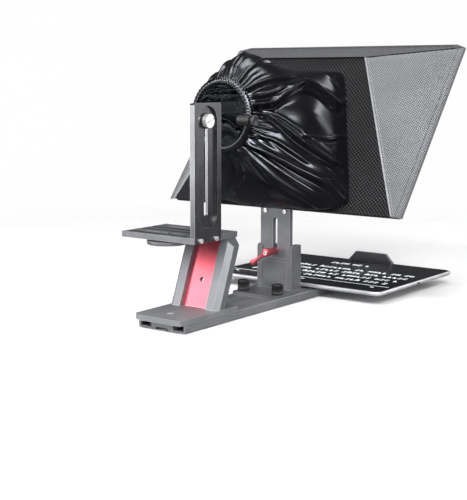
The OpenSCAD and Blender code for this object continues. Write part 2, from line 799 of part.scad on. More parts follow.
base_rail();
tripod_insert();
rod_bushes();
clamp_nuts();
jaw_spring(-1);  // jaw_spring_left
jaw_spring(1);  // jaw_spring_right
near_stop();
near_stop_pad();
rest_pads();
column_bracket();
riser_foot();
riser_frame();
riser_panel();
riser_lock_screw();
riser_lock_nut();
camera_platform();
platform_pads();
side_plate();
side_plate_screws();
camera_screw_washer();
camera_screw();
side_screw_washer();
side_camera_screw();
lock_lever();
lock_bolt();
clamp_knob(-1);  // clamp_knob_left
clamp_knob(1);  // clamp_knob_right
column_slider();
slider_screws();
tilt_bracket();
tilt_pin();
frame_bottom_rail();
frame_top_rail();
frame_side_rail(-1);  // frame_left_rail
frame_side_rail(1);  // frame_right_rail
frame_corners();
frame_hinge_lug();
glass_gasket();
beam_splitter();
hood_rear_panel();
hood_top_panel();
color(cloth) hood_side_panel(true);  // hood_left_panel
color(cloth) hood_side_panel(false);  // hood_right_panel
lens_shroud();
draw_cord();
cord_lock_barrel();
cord_lock_button();
guide_rods();
jaw_crossbar();
far_jaw();
jaw_pad();
tablet_shell();
tablet_glass();
tablet_display();
tablet_battery();
tablet_board();
power_button();
volume_button();
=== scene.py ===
"""Looks of the tablet teleprompter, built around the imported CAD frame. Metres."""

import math
import random

import bmesh
import bpy
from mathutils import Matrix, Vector, noise


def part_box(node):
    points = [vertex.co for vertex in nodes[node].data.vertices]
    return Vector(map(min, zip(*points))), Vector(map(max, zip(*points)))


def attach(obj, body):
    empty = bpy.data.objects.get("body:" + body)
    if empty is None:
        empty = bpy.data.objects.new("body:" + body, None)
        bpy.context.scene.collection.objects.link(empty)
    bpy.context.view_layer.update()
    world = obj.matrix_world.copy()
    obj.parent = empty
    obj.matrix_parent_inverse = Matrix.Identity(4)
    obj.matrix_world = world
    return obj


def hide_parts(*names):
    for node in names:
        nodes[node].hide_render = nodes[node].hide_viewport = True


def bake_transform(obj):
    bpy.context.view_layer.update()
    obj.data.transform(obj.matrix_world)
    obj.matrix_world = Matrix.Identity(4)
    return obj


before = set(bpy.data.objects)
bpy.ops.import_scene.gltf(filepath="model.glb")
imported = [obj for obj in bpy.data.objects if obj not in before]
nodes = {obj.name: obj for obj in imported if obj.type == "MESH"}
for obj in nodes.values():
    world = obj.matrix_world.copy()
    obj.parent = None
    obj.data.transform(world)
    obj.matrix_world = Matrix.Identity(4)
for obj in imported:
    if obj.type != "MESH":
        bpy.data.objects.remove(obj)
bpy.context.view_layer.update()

# ---------------------------------------------------------------- driving values

CAMERA_AT = Vector((0.857, -1.1682, 0.3019))
CAMERA_LOOKS = Vector((-0.5960, 0.7880, -0.1547))
CAMERA_LENS = 80.57

FLOOR_Z = -0.0006
FLOOR_FADE_START, FLOOR_FADE_END = 0.30, 1.30
BACKDROP_R = 6.0

# Hood corners on its right side, in the outer faces of the CAD panels
HOOD_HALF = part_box("hood_right_panel")[1].x
HEM_LOW = Vector((HOOD_HALF, 0.0639, 0.1246))
HEM_HIGH = Vector((HOOD_HALF, 0.2290, 0.3366))
HEM_TOP = Vector((0.1720, 0.2385, 0.3410))
REAR_HIGH = Vector((0.0844, 0.1445, 0.3246))
REAR_LOW = Vector((0.1767, 0.0576, 0.1268))
CLOTH_T = 0.0016
# Hem of the rear panel behind the shroud's seam, as a share of the panel's width there
REAR_HEM = 0.12

# Shroud: its seam on the rear panel, and its mouth
SHROUD_LOW_Z, SHROUD_HIGH_Z = 0.134, 0.306
SHROUD_LOW_HALF, SHROUD_HIGH_HALF = 0.115, 0.058
MOUTH = Vector((-0.020, -0.029, 0.251))
MOUTH_R = 0.0425
SHROUD_T = 0.0007
# How far the slack cloth stands out: at its sides, under it, over it, and where it blouses
# over the mouth
SIDE_FULL, BELLY, BROW, BLOUSE = 0.014, -0.028, 0.012, 0.020


# ---------------------------------------------------------------- camera, light, floor

def make_camera():
    data = bpy.data.cameras.new("camera")
    data.lens = CAMERA_LENS
    data.clip_start, data.clip_end = 0.05, 30
    camera = bpy.data.objects.new("camera", data)
    bpy.context.scene.collection.objects.link(camera)
    camera.location = CAMERA_AT
    camera.rotation_mode = "QUATERNION"
    camera.rotation_quaternion = CAMERA_LOOKS.to_track_quat("-Z", "Y")
    bpy.context.scene.camera = camera


def softbox(name, at, aim, width, height, watts):
    data = bpy.data.lights.new(name, "AREA")
    data.shape = "RECTANGLE"
    data.size, data.size_y = width, height
    data.energy = watts
    light = bpy.data.objects.new(name, data)
    bpy.context.scene.collection.objects.link(light)
    light.location = at
    light.rotation_mode = "QUATERNION"
    light.rotation_quaternion = (Vector(aim) - Vector(at)).to_track_quat("-Z", "Y")


def make_studio():
    """A dim, even fill with softboxes; the white paper behind is seen but throws no light."""
    scene = bpy.context.scene
    scene.view_settings.view_transform = "Standard"
    world = bpy.data.worlds.new("studio")
    world.use_nodes = True
    background = world.node_tree.nodes["Background"]
    background.inputs["Color"].default_value = (0.92, 0.95, 1.0, 1)
    background.inputs["Strength"].default_value = 0.09
    scene.world = world
    centre = (0, 0.03, 0.16)
    softbox("key", (1.35, -1.30, 1.45), centre, 0.8, 0.8, 42)
    softbox("left_box", (-0.52, -0.86, 0.35), (0, -0.05, 0.20), 0.50, 0.64, 6.5)
    softbox("top", (0.0, -0.2, 2.2), centre, 1.4, 1.2, 26)
    softbox("high_strip", (0.0, -1.5, 1.6), centre, 1.3, 0.34, 32)
    softbox("back", (0.9, 1.9, 1.2), centre, 1.2, 0.8, 11)
    softbox("right_box", (1.15, 1.35, 0.42), centre, 0.8, 0.7, 3.2)
    softbox("right_strip", (1.25, -0.72, 0.42), (0, 0, 0.2), 0.22, 0.70, 5.5)


def place_at(radius, longitude, latitude):
    flat = radius * math.cos(latitude)
    return Vector((flat * math.cos(longitude), flat * math.sin(longitude), radius * math.sin(latitude)))


def make_backdrop():
    """A white paper dome around the set that is seen directly and through glass only."""
    def place(u, v):
        return place_at(BACKDROP_R, 2 * math.pi * u, math.pi * (v - 0.5) * 0.999)

    dome = sheet_mesh("backdrop", place, 48, 24, closed=True)
    tree, shader = new_material("backdrop_paper")
    tint = blotched(tree, 0.2, 1, (0.985, 0.985, 0.985), (1.0, 1.0, 1.0))
    feed(tree, shader, {"Emission Color": tint, "Emission Strength": 1.0,
                        "Base Color": (0, 0, 0, 1), "Specular IOR Level": 0})
    finish_with(dome, tree)
    dome.visible_diffuse = False
    dome.visible_glossy = False
    dome.visible_shadow = False


def make_floor():
    """Pale paper under the object that thins out into the white backdrop."""
    def place(u, v):
        return Vector((FLOOR_FADE_END * (2 * u - 1), FLOOR_FADE_END * (2 * v - 1), FLOOR_Z))

    floor = sheet_mesh("floor", place, 8, 8)
    tree, shader = new_material("floor_paper")
    tint = blotched(tree, 3.0, 2, (0.93, 0.93, 0.935), (0.95, 0.95, 0.95))
    reach = add(tree, "ShaderNodeVectorMath", {0: coordinates(tree)}, operation="LENGTH")
    inputs = {"Value": reach.outputs["Value"], "From Min": FLOOR_FADE_START,
              "From Max": FLOOR_FADE_END, "To Min": 1.0, "To Max": 0.0}
    fade = add(tree, "ShaderNodeMapRange", inputs, interpolation_type="SMOOTHSTEP").outputs[0]
    feed(tree, shader, {"Base Color": tint, "Roughness": 0.9, "Alpha": fade})
    finish_with(floor, tree)
    floor.visible_glossy = False


# ---------------------------------------------------------------- shader helpers

def new_material(name):
    """A new node material: its tree and its Principled shader."""
    material = bpy.data.materials.new(name)
    material.use_nodes = True
    return material.node_tree, material.node_tree.nodes["Principled BSDF"]


def material_of(tree):
    return next(m for m in bpy.data.materials if m.node_tree == tree)


def feed(tree, node, inputs):
    """Fills a node's inputs, each with a value or with another node's output."""
    for key, value in inputs.items():
        if isinstance(value, bpy.types.NodeSocket):
            tree.links.new(value, node.inputs[key])
        else:
            node.inputs[key].default_value = value


def add(tree, kind, inputs=None, **settings):
    """Adds one shader node with its settings and inputs."""
    made = tree.nodes.new(kind)
    for key, value in settings.items():
        setattr(made, key, value)
    feed(tree, made, inputs or {})
    return made


def maths(tree, operation, a, b=0.0):
    return add(tree, "ShaderNodeMath", {0: a, 1: b}, operation=operation).outputs[0]


def coordinates(tree, stretch=(1, 1, 1)):
    """Places in metres in the row frame, stretched for a grain that runs one way."""
    source = add(tree, "ShaderNodeTexCoord").outputs["Object"]
    return add(tree, "ShaderNodeMapping", {"Vector": source, "Scale": stretch}).outputs[0]


def noise_of(tree, at, scale, detail=3.0):
    inputs = {"Vector": at, "Scale": scale, "Detail": detail}
    return add(tree, "ShaderNodeTexNoise", inputs).outputs["Fac"]


def ramp_of(tree, factor, stops):
    """A colour ramp from (place, colour) stops."""
    made = add(tree, "ShaderNodeValToRGB", {"Fac": factor})
    ramp = made.color_ramp
    while len(ramp.elements) < len(stops):
        ramp.elements.new(0.5)
    for element, (place, colour) in zip(ramp.elements, stops):
        element.position = place
        element.color = (*colour, 1)
    return made.outputs["Color"]


def two_tone(tree, factor, dark, light):
    """Dark to light over the factor's middle range."""
    return ramp_of(tree, factor, [(0.3, dark), (0.7, light)])


def blotched(tree, scale, detail, dark, light):
    """Slow blotches between two colours."""
    return two_tone(tree, noise_of(tree, coordinates(tree), scale, detail), dark, light)


def mottled(tree, factor, colour, share):
    """A colour that wanders a share darker and lighter."""
    return two_tone(tree, factor, tone(colour, 1 - share), tone(colour, 1 + share))


def spread(tree, factor, low, high):
    """The factor's middle range taken to low..high."""
    inputs = {"Value": factor, "From Min": 0.3, "From Max": 0.7, "To Min": low, "To Max": high}
    return add(tree, "ShaderNodeMapRange", inputs).outputs[0]


def mixed(tree, factor, a, b):
    made = add(tree, "ShaderNodeMix", data_type="RGBA")
    for key, value in (("Factor", factor), ("A", a), ("B", b)):
        sockets = [s for s in made.inputs if s.name == key and s.enabled]
        if isinstance(value, bpy.types.NodeSocket):
            tree.links.new(value, sockets[0])
        elif key == "Factor":
            sockets[0].default_value = value
        else:
            sockets[0].default_value = (*value, 1)
    return next(s for s in made.outputs if s.enabled)


def bump_of(tree, height, distance, strength=1.0):
    inputs = {"Height": height, "Distance": distance, "Strength": strength}
    return add(tree, "ShaderNodeBump", inputs).outputs["Normal"]


def tone(colour, factor):
    return tuple(min(1.0, c * factor) for c in colour)


def finish_with(obj, tree):
    obj.data.materials.clear()
    obj.data.materials.append(material_of(tree))


# ---------------------------------------------------------------- materials

PALE_EDGE_RADIUS = 0.0010


def pale_edge_mask(tree):
    """Towards 1 where the surface turns at an edge: the paler edges, partly wear and partly a painted
    edge highlight.
    """
    bevel = add(tree, "ShaderNodeBevel", {"Radius": PALE_EDGE_RADIUS}, samples=6).outputs["Normal"]
    flat = add(tree, "ShaderNodeNewGeometry").outputs["Normal"]
    dot = add(tree, "ShaderNodeVectorMath", {0: bevel, 1: flat}, operation="DOT_PRODUCT")
    return maths(tree, "SUBTRACT", 1.0, dot.outputs["Value"])


def metal(name, colour, rough, metallic, grain=1800, edge_wear_and_highlight=2.5, stretch=(1, 1, 1), mottle=0.12):
    """Anodised or plated metal: fine blasted grain, faint mottling, and paler edges that are partly
    edge wear and partly a painted edge highlight.
    """
    tree, shader = new_material(name)
    cloudy = noise_of(tree, coordinates(tree), 45, detail=4)
    base = mottled(tree, cloudy, colour, mottle)
    # Paler edges, partly edge wear and partly a painted highlight where light catches the edges.
    edge = maths(tree, "MULTIPLY", pale_edge_mask(tree), edge_wear_and_highlight)
    patchy = noise_of(tree, coordinates(tree), 260, detail=3)
    edge = maths(tree, "MULTIPLY", edge, spread(tree, patchy, 0.35, 1.0))
    edge = maths(tree, "MINIMUM", edge, 0.8)
    pale = tuple(0.4 * c + 0.42 for c in colour)
    fine = noise_of(tree, coordinates(tree, stretch), grain, detail=2)
    smears = noise_of(tree, coordinates(tree), 22, detail=3)
    feed(tree, shader, {"Base Color": mixed(tree, edge, base, pale),
                        "Roughness": spread(tree, smears, rough - 0.05, rough + 0.06),
                        "Normal": bump_of(tree, fine, 0.00002, 0.6), "Metallic": metallic})
    return tree


def moulded(name, colour, rough=0.5, grain=900, depth=0.00005):
    """Moulded plastic or rubber with a fine spark-eroded texture."""
    tree, shader = new_material(name)
    at = coordinates(tree)
    cloudy = noise_of(tree, at, 60, detail=3)
    feed(tree, shader, {"Base Color": mottled(tree, cloudy, colour, 0.15),
                        "Roughness": spread(tree, cloudy, rough - 0.05, rough + 0.07),
                        "Normal": bump_of(tree, noise_of(tree, at, grain, detail=2), depth, 0.7)})
    return tree


def woven(name, dark, light, cell, sheen=0.3, gloss=0.5):
    """Plain-woven cloth from its UV map, which is in metres; threads are cell wide."""
    tree, shader = new_material(name)
    uv = add(tree, "ShaderNodeUVMap").outputs["UV"]
    wander = add(tree, "ShaderNodeTexNoise", {"Vector": uv, "Scale": 30.0, "Detail": 2.0})
    shift = add(tree, "ShaderNodeVectorMath", {0: wander.outputs["Color"], "Scale": 0.0008},
                operation="SCALE")
    moved = add(tree, "ShaderNodeVectorMath", {0: uv, 1: shift.outputs["Vector"]}, operation="ADD")
    parts = add(tree, "ShaderNodeSeparateXYZ", {"Vector": moved.outputs["Vector"]})

    def times(a, b):
        return maths(tree, "MULTIPLY", a, b)

    def plus(a, b):
        return maths(tree, "ADD", a, b)

    def thread(place):
        """Roundness of a thread: 0 at its sides, 1 along its middle."""
        return maths(tree, "ABSOLUTE", maths(tree, "SINE", times(place, math.pi)))

    def crossing(round_thread, on_top):
        return times(round_thread, plus(times(on_top, 0.65), 0.35))

    across = maths(tree, "DIVIDE", parts.outputs["X"], cell)
    along = maths(tree, "DIVIDE", parts.outputs["Y"], cell)
    warp, weft = thread(across), thread(along)
    squares = plus(maths(tree, "FLOOR", across), maths(tree, "FLOOR", along))
    over = maths(tree, "FLOORED_MODULO", squares, 2.0)
    under = maths(tree, "SUBTRACT", 1.0, over)
    height = maths(tree, "MAXIMUM", crossing(warp, over), crossing(weft, under))
    faded = noise_of(tree, uv, 14, detail=4)
    pale = plus(times(warp, over), times(times(weft, under), 0.2))
    cloth = ramp_of(tree, pale, [(0.10, dark), (0.80, light)])
    feed(tree, shader, {"Base Color": mixed(tree, spread(tree, faded, 0.0, 0.22), cloth, dark),
                        "Roughness": spread(tree, faded, 0.70, 0.83),
                        "Normal": bump_of(tree, height, 0.0005, 0.8),
                        "Specular IOR Level": gloss, "Sheen Weight": sheen,
                        "Sheen Roughness": 0.5})
    return tree


def satin(name, dark, light):
    """Glossy satin: fine thread lines, soft gloss that varies, and a cool sheen."""
    tree, shader = new_material(name)
    uv = add(tree, "ShaderNodeUVMap").outputs["UV"]
    lines = add(tree, "ShaderNodeMapping", {"Vector": uv, "Scale": (9.0, 1.0, 1.0)}).outputs[0]
    threads = noise_of(tree, lines, 420, detail=2)
    cloudy = noise_of(tree, uv, 18, detail=3)
    feed(tree, shader, {"Base Color": two_tone(tree, cloudy, dark, light),
                        "Roughness": spread(tree, threads, 0.18, 0.24),
                        "Normal": bump_of(tree, threads, 0.00003, 0.4),
                        "Specular IOR Level": 0.95, "Specular Tint": (0.88, 0.91, 1.0, 1),
                        "Sheen Weight": 0.02, "Sheen Roughness": 0.35,
                        "Sheen Tint": (0.75, 0.82, 1.0, 1)})
    return tree


def splitter_glass(name):
    """Part-silvered beam-splitter glass, faintly smudged."""
    tree, shader = new_material(name)
    smudge = noise_of(tree, coordinates(tree), 25, detail=4)
    tint = two_tone(tree, smudge, (0.80, 0.86, 0.88), (0.84, 0.89, 0.90))
    feed(tree, shader, {"Base Color": tint, "Roughness": spread(tree, smudge, 0.005, 0.03),
                        "Transmission Weight": 0.8, "Metallic": 0.25, "IOR": 1.5})
    return tree


def screen_glass(name):
    """Near-black cover glass, faintly smudged."""
    tree, shader = new_material(name)
    smudge = noise_of(tree, coordinates(tree), 30, detail=5)
    tint = two_tone(tree, smudge, (0.006, 0.006, 0.007), (0.011, 0.011, 0.013))
    feed(tree, shader, {"Base Color": tint, "Roughness": spread(tree, smudge, 0.12, 0.24),
                        "Specular IOR Level": 0.3})
    return tree


# ---------------------------------------------------------------- mesh helpers

def link_mesh(name, points, faces, uvs=None, smooth=True):
    """A mesh object from points and faces; uvs is one pair for each point."""
    mesh = bpy.data.meshes.new(name)
    mesh.from_pydata([tuple(p) for p in points], [], faces)
    if uvs:
        layer = mesh.uv_layers.new(name="UVMap")
        for loop in mesh.loops:
            layer.data[loop.index].uv = uvs[loop.vertex_index]
    for polygon in mesh.polygons:
        polygon.use_smooth = smooth
    mesh.update()
    obj = bpy.data.objects.new(name, mesh)
    bpy.context.scene.collection.objects.link(obj)
    return obj


def band_faces(rings, wide, closed=True, looped=False):
    """Quads between rings of wide points; closed rings, looped from the last to the first."""
    faces = []
    for j in range(rings if looped else rings - 1):
        here, there = j * wide, (j + 1) % rings * wide
        for i in range(wide if closed else wide - 1):
            k = (i + 1) % wide
            faces.append((here + i, here + k, there + k, there + i))
    return faces


def end_caps(rings, wide):
    """Faces that close the first and the last ring."""
    last = (rings - 1) * wide
    return [tuple(reversed(range(wide))), tuple(last + s for s in range(wide))]


def circle(sides):
    """Cosine and sine at each of so many even steps around a circle."""
    return [(math.cos(2 * math.pi * s / sides), math.sin(2 * math.pi * s / sides))
            for s in range(sides)]


def sheet_mesh(name, place, across, along, closed=False):
    """A grid of quads from place(u, v) with u and v in 0..1."""
    columns = across if closed else across + 1
    points = [place(i / across, j / along) for j in range(along + 1) for i in range(columns)]
    return link_mesh(name, points, band_faces(along + 1, columns, closed))


def solidify(obj, thickness, even=True):
    """Thickens a sheet inwards from its faces."""
    made = obj.modifiers.new("thickness", "SOLIDIFY")
    made.thickness = thickness
    made.offset = -1
    made.use_even_offset = even
    return made


def subdivide(obj, levels=1):
    made = obj.modifiers.new("smooth", "SUBSURF")
    made.levels = levels
    made.render_levels = levels
    return made


def bevel(obj, width, segments=2, angle=30):
    made = obj.modifiers.new("edges", "BEVEL")
    made.width = width
    made.segments = segments
    made.limit_method = "ANGLE"
    made.angle_limit = math.radians(angle)
    return made


def polyline(points, step):
    """Points spaced about step apart along straight runs."""
    made = [points[0]]
    for a, b in zip(points, points[1:]):
        count = max(1, round((b - a).length / step))
        made += [a.lerp(b, k / count) for k in range(1, count + 1)]
    return made


def tube(name, path, radius, sides=10, closed=False, ripple=None):
    """A round tube along a path; ripple(k) scales the radius at its k-th ring."""
    points = []
    count = len(path)
    normal = None
    for k, p in enumerate(path):
        before = path[(k - 1) % count] if closed or k else p
        after = path[(k + 1) % count] if closed or k < count - 1 else p
        forward = (after - before).normalized()
        if normal is None:
            normal = forward.orthogonal().normalized()
        normal = (normal - forward * normal.dot(forward)).normalized()
        other = forward.cross(normal)
        r = radius * (ripple(k) if ripple else 1)
        points += [p + normal * (r * c) + other * (r * s) for c, s in circle(sides)]
    faces = band_faces(count, sides, looped=closed)
    return link_mesh(name, points, faces if closed else faces + end_caps(count, sides))


STITCH, STITCH_GAP, THREAD_R = 0.0026, 0.0014, 0.00035
# A stitch's rings: how far along it, how wide and how high above its seam
STITCH_RINGS = ((0, 0.35, -0.2), (0.2, 0.9, 0.4), (0.8, 0.9, 0.4), (1, 0.35, -0.2))


def stitches(name, start, end, outward):
    """A row of thread stitches along a straight seam, each a small swollen bar."""
    points, faces = [], []
    forward = (end - start).normalized()
    side = forward.cross(outward).normalized()
    up = side.cross(forward)
    sides = 6
    travelled = 0.0
    while travelled + STITCH < (end - start).length:
        base = len(points)
        for share, size, lift in STITCH_RINGS:
            centre = start + forward * (travelled + STITCH * share) + up * (THREAD_R * lift)
            r = THREAD_R * size
            points += [centre + side * (r * c) + up * (r * s) for c, s in circle(sides)]
        rings = len(STITCH_RINGS)
        for face in band_faces(rings, sides) + end_caps(rings, sides):
            faces.append(tuple(base + k for k in face))
        travelled += STITCH + STITCH_GAP
    return link_mesh(name, points, faces)


def settle(obj, tree, body, slot, *stands_for):
    """Gives a finished piece its material and body, and hides the CAD nodes it stands for; slot is not
    used.
    """
    finish_with(obj, tree)
    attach(obj, body)
    if stands_for:
        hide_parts(*stands_for)
    return obj


def face_out(obj, index, out):
    """Turns a sheet's faces over if the one with this index looks away from out."""
    if obj.data.polygons[index].normal.dot(out) < 0:
        obj.data.flip_normals()


def smooth_step(x):
    x = min(1.0, max(0.0, x))
    return x * x * (3 - 2 * x)


def bell(x, width):
    return math.exp(-(x / width) ** 2)


def ripple_at(p, size, amount, seed=0.0):
    """Slow cloth-like unevenness at a point, about size across."""
    return amount * noise.noise(Vector((p.x / size + seed, p.y / size, p.z / size)))


# ---------------------------------------------------------------- hood

def mirrored(p):
    return Vector((-p.x, p.y, p.z))


def square_to(a, b, away):
    """The unit direction square to both a and b that points to away's side."""
    made = a.cross(b).normalized()
    return -made if made.dot(away) < 0 else made


REAR_EDGE = [mirrored(REAR_LOW), mirrored(REAR_HIGH), REAR_HIGH, REAR_LOW]
FRONT_EDGE = [mirrored(HEM_LOW), mirrored(HEM_HIGH), mirrored(HEM_TOP), HEM_TOP, HEM_HIGH, HEM_LOW]
HEM_BAND = 0.0105
THREAD_LIFT = 0.0006
X_AXIS = Vector((1, 0, 0))
SIDE_PANEL_OUT = square_to(HEM_HIGH - HEM_LOW, REAR_LOW - HEM_LOW, X_AXIS)
REAR_PANEL_OUT = square_to(REAR_HIGH - REAR_LOW, X_AXIS, Vector((0, -1, 0)))
TOP_PANEL_OUT = square_to(HEM_TOP - REAR_HIGH, X_AXIS, Vector((0, 0, 1)))


def hood_rows():
    """Columns of the hood's wrap, from its left side over the top to its right side.

    Each column is (rear point, front point, outward direction, slack), and slack is how far the
    middle of the cloth there may sink, as a share of the most.
    """
    side_steps, corner_steps, top_steps = 26, 3, 34
    # Corners of REAR_EDGE and FRONT_EDGE at both ends of each run, its outward direction, steps
    # and slack
    runs = [((0, 1), (0, 1), mirrored(SIDE_PANEL_OUT), side_steps, 1),
            ((1, 1), (1, 2), TOP_PANEL_OUT, corner_steps, 0),
            ((1, 2), (2, 3), TOP_PANEL_OUT, top_steps, 1),
            ((2, 2), (3, 4), TOP_PANEL_OUT, corner_steps, 0),
            ((2, 3), (4, 5), SIDE_PANEL_OUT, side_steps, 1)]
    columns = []
    for rear, front, out, steps, slack in runs:
        for k in range(1 if columns else 0, steps + 1):
            s = k / steps
            columns.append((REAR_EDGE[rear[0]].lerp(REAR_EDGE[rear[1]], s),
                            FRONT_EDGE[front[0]].lerp(FRONT_EDGE[front[1]], s),
                            out, slack * math.sin(math.pi * s)))
    return columns


def hood_point(column, v):
    """A point of the wrap; v is 0 at the rear seam and 1 at the front hem."""
    rear, front, out, slack = column
    p = rear.lerp(front, v)
    run = (front - rear).length
    from_hem = (1 - v) * run
    sink = 0.0026 * slack * math.sin(math.pi * min(1.0, v * 1.04)) if v < 0.96 else 0
    band = 0.0007 * (1 - smooth_step((from_hem - HEM_BAND) / 0.0008))
    wave = ripple_at(p, 0.07, 0.0007) * math.sin(math.pi * v)
    return p + out * (band + wave - sink)


def make_hood_wrap(cloth, lit_top_cloth, lining):
    """One continuous cloth over both sides and the top, with a turned hem at the front."""
    columns = hood_rows()
    wide = len(columns)
    body_rows, hem_rows = 25, 5
    points = []
    for j in range(body_rows + hem_rows + 1):
        for column in columns:
            run = (column[1] - column[0]).length
            hem_start = max(0.05, 1 - (HEM_BAND + 0.001) / run) if run > 0.03 else 0.5
            if j <= body_rows:
                v = hem_start * j / body_rows
            else:
                v = hem_start + (1 - hem_start) * (j - body_rows) / hem_rows
            points.append(hood_point(column, v))
    faces = band_faces(body_rows + hem_rows + 1, wide, closed=False)
    wrap = link_mesh("hood_wrap", points, faces)
    # The sides take the cloth painted light grey and the top its darker copy: painted light on one
    # black oxford.
    settle(wrap, cloth, "hood", "hood_cloth", "hood_left_panel", "hood_right_panel",
           "hood_top_panel")
    for tree in (lining, lit_top_cloth, lining):
        wrap.data.materials.append(material_of(tree))
    layer = wrap.data.uv_layers.new(name="UVMap")
    side_down = (HEM_LOW - HEM_HIGH).normalized()
    side_down = Vector((0, side_down.y, side_down.z))
    for polygon in wrap.data.polygons:
        out = columns[polygon.index % (wide - 1) + 1][2]
        if out == TOP_PANEL_OUT:
            polygon.material_index = 2
        down = side_down if abs(out.x) > 0.3 else X_AXIS
        side = out.cross(down).normalized()
        for loop in polygon.loop_indices:
            p = points[wrap.data.loops[loop].vertex_index]
            layer.data[loop].uv = (p.dot(down), p.dot(side))
    thick = solidify(wrap, CLOTH_T)
    thick.material_offset = 1
    thick.material_offset_rim = 0
    face_out(wrap, (wide - 1) * 4 + wide - 6, SIDE_PANEL_OUT)


def both_sides(points):
    """A line on the right side of the hood and its mirror image on the left."""
    return (("right", points), ("left", [mirrored(p) for p in points]))


def make_hood_trim(cloth, binding, dark_cloth, pale_thread, dark_thread):
    """Piped seams, a corded front hem and rows of stitches."""
    for name, path in both_sides(polyline([REAR_LOW, REAR_HIGH], 0.004)):
        settle(tube(f"hood_piping_{name}", path, 0.0014, 8), binding, "hood", "hood_cloth")
    top_seam = polyline([mirrored(REAR_HIGH), REAR_HIGH], 0.006)
    settle(tube("hood_top_rear_seam", top_seam, 0.0011, 8), dark_cloth, "hood", "hood_rear_cloth")
    shoulder = polyline([REAR_HIGH, HEM_HIGH.lerp(HEM_TOP, 0.25)], 0.005)
    for name, path in both_sides(shoulder):
        settle(tube(f"hood_shoulder_seam_{name}", path, 0.0009, 8), dark_cloth, "hood",
               "hood_rear_cloth")
    hem = polyline(FRONT_EDGE, 0.004)
    # The hem cord takes the sides' cloth, painted light grey as painted light.
    settle(tube("hood_hem_cord", hem, 0.0014, 8), cloth, "hood", "hood_cloth")

    forwards = HEM_HIGH - REAR_HIGH
    from_seam = square_to(REAR_HIGH - REAR_LOW, SIDE_PANEL_OUT, forwards)
    from_hem = square_to(HEM_HIGH - HEM_LOW, SIDE_PANEL_OUT, -forwards)
    rows = [("seam_stitches", REAR_LOW, REAR_HIGH, from_seam * 0.0032, pale_thread),
            ("hem_stitches_outer", HEM_LOW, HEM_HIGH, from_hem * 0.0030, dark_thread),
            ("hem_stitches_inner", HEM_LOW, HEM_HIGH, from_hem * 0.0088, dark_thread)]
    for label, low, high, move, thread in rows:
        move = move + SIDE_PANEL_OUT * THREAD_LIFT
        for name, (a, b, tip) in both_sides([low + move, high + move, SIDE_PANEL_OUT]):
            settle(stitches(f"{label}_{name}", a, b, tip), thread, "hood", "hood_cloth")
    back = REAR_HIGH - HEM_TOP
    back = Vector((0, back.y, back.z)).normalized()
    for label, shift in (("outer", 0.0030), ("inner", 0.0088)):
        move = back * shift + TOP_PANEL_OUT * THREAD_LIFT
        settle(stitches(f"hem_top_stitches_{label}", mirrored(HEM_TOP) + move, HEM_TOP + move,
                        TOP_PANEL_OUT), dark_thread, "hood", "hood_cloth")


# ---------------------------------------------------------------- lens shroud

SHROUD_MID_Z = (SHROUD_LOW_Z + SHROUD_HIGH_Z) / 2
SHROUD_HALF_Z = (SHROUD_HIGH_Z - SHROUD_LOW_Z) / 2
REAR_RUN = (REAR_HIGH.y - REAR_LOW.y) / (REAR_HIGH.z - REAR_LOW.z)
CORNER_POWER = 14
# How far the loft starts in front of the rear panel
SEAM_LIFT = 0.0024


def rear_plane_y(z):
    return REAR_LOW.y + (z - REAR_LOW.z) * REAR_RUN


def seam_point(angle):
    """The shroud's seam on the rear panel: a trapezoid with softened corners."""
    c, s = math.cos(angle), math.sin(angle)
    reach = (abs(c) ** CORNER_POWER + abs(s) ** CORNER_POWER) ** (-1 / CORNER_POWER)
    z = SHROUD_MID_Z + SHROUD_HALF_Z * reach * s
    share = (z - SHROUD_LOW_Z) / (SHROUD_HIGH_Z - SHROUD_LOW_Z)
    half = SHROUD_LOW_HALF + (SHROUD_HIGH_HALF - SHROUD_LOW_HALF) * share
    return Vector((half * reach * c, rear_plane_y(z) - SEAM_LIFT, z))


def mouth_point(angle, radius=MOUTH_R):
    return MOUTH + Vector((radius * math.cos(angle), 0, radius * math.sin(angle)))


def loft_point(angle, t):
    """The slack shroud without folds; t is 0 at its seam and 1 at its mouth."""
    c, s = math.cos(angle), math.sin(angle)
    hang = BELLY * s * s * math.sin(math.pi * t ** 0.8) if s < 0 else BROW * s * math.sin(math.pi * t)
    if s > 0:
        hang += BLOUSE * s ** 3 * bell(t - 0.78, 0.20) * smooth_step((1 - t) / 0.12)
    full = Vector((SIDE_FULL * c * math.sin(math.pi * t), 0, hang))
    return seam_point(angle) * (1 - t) + mouth_point(angle) * t + full


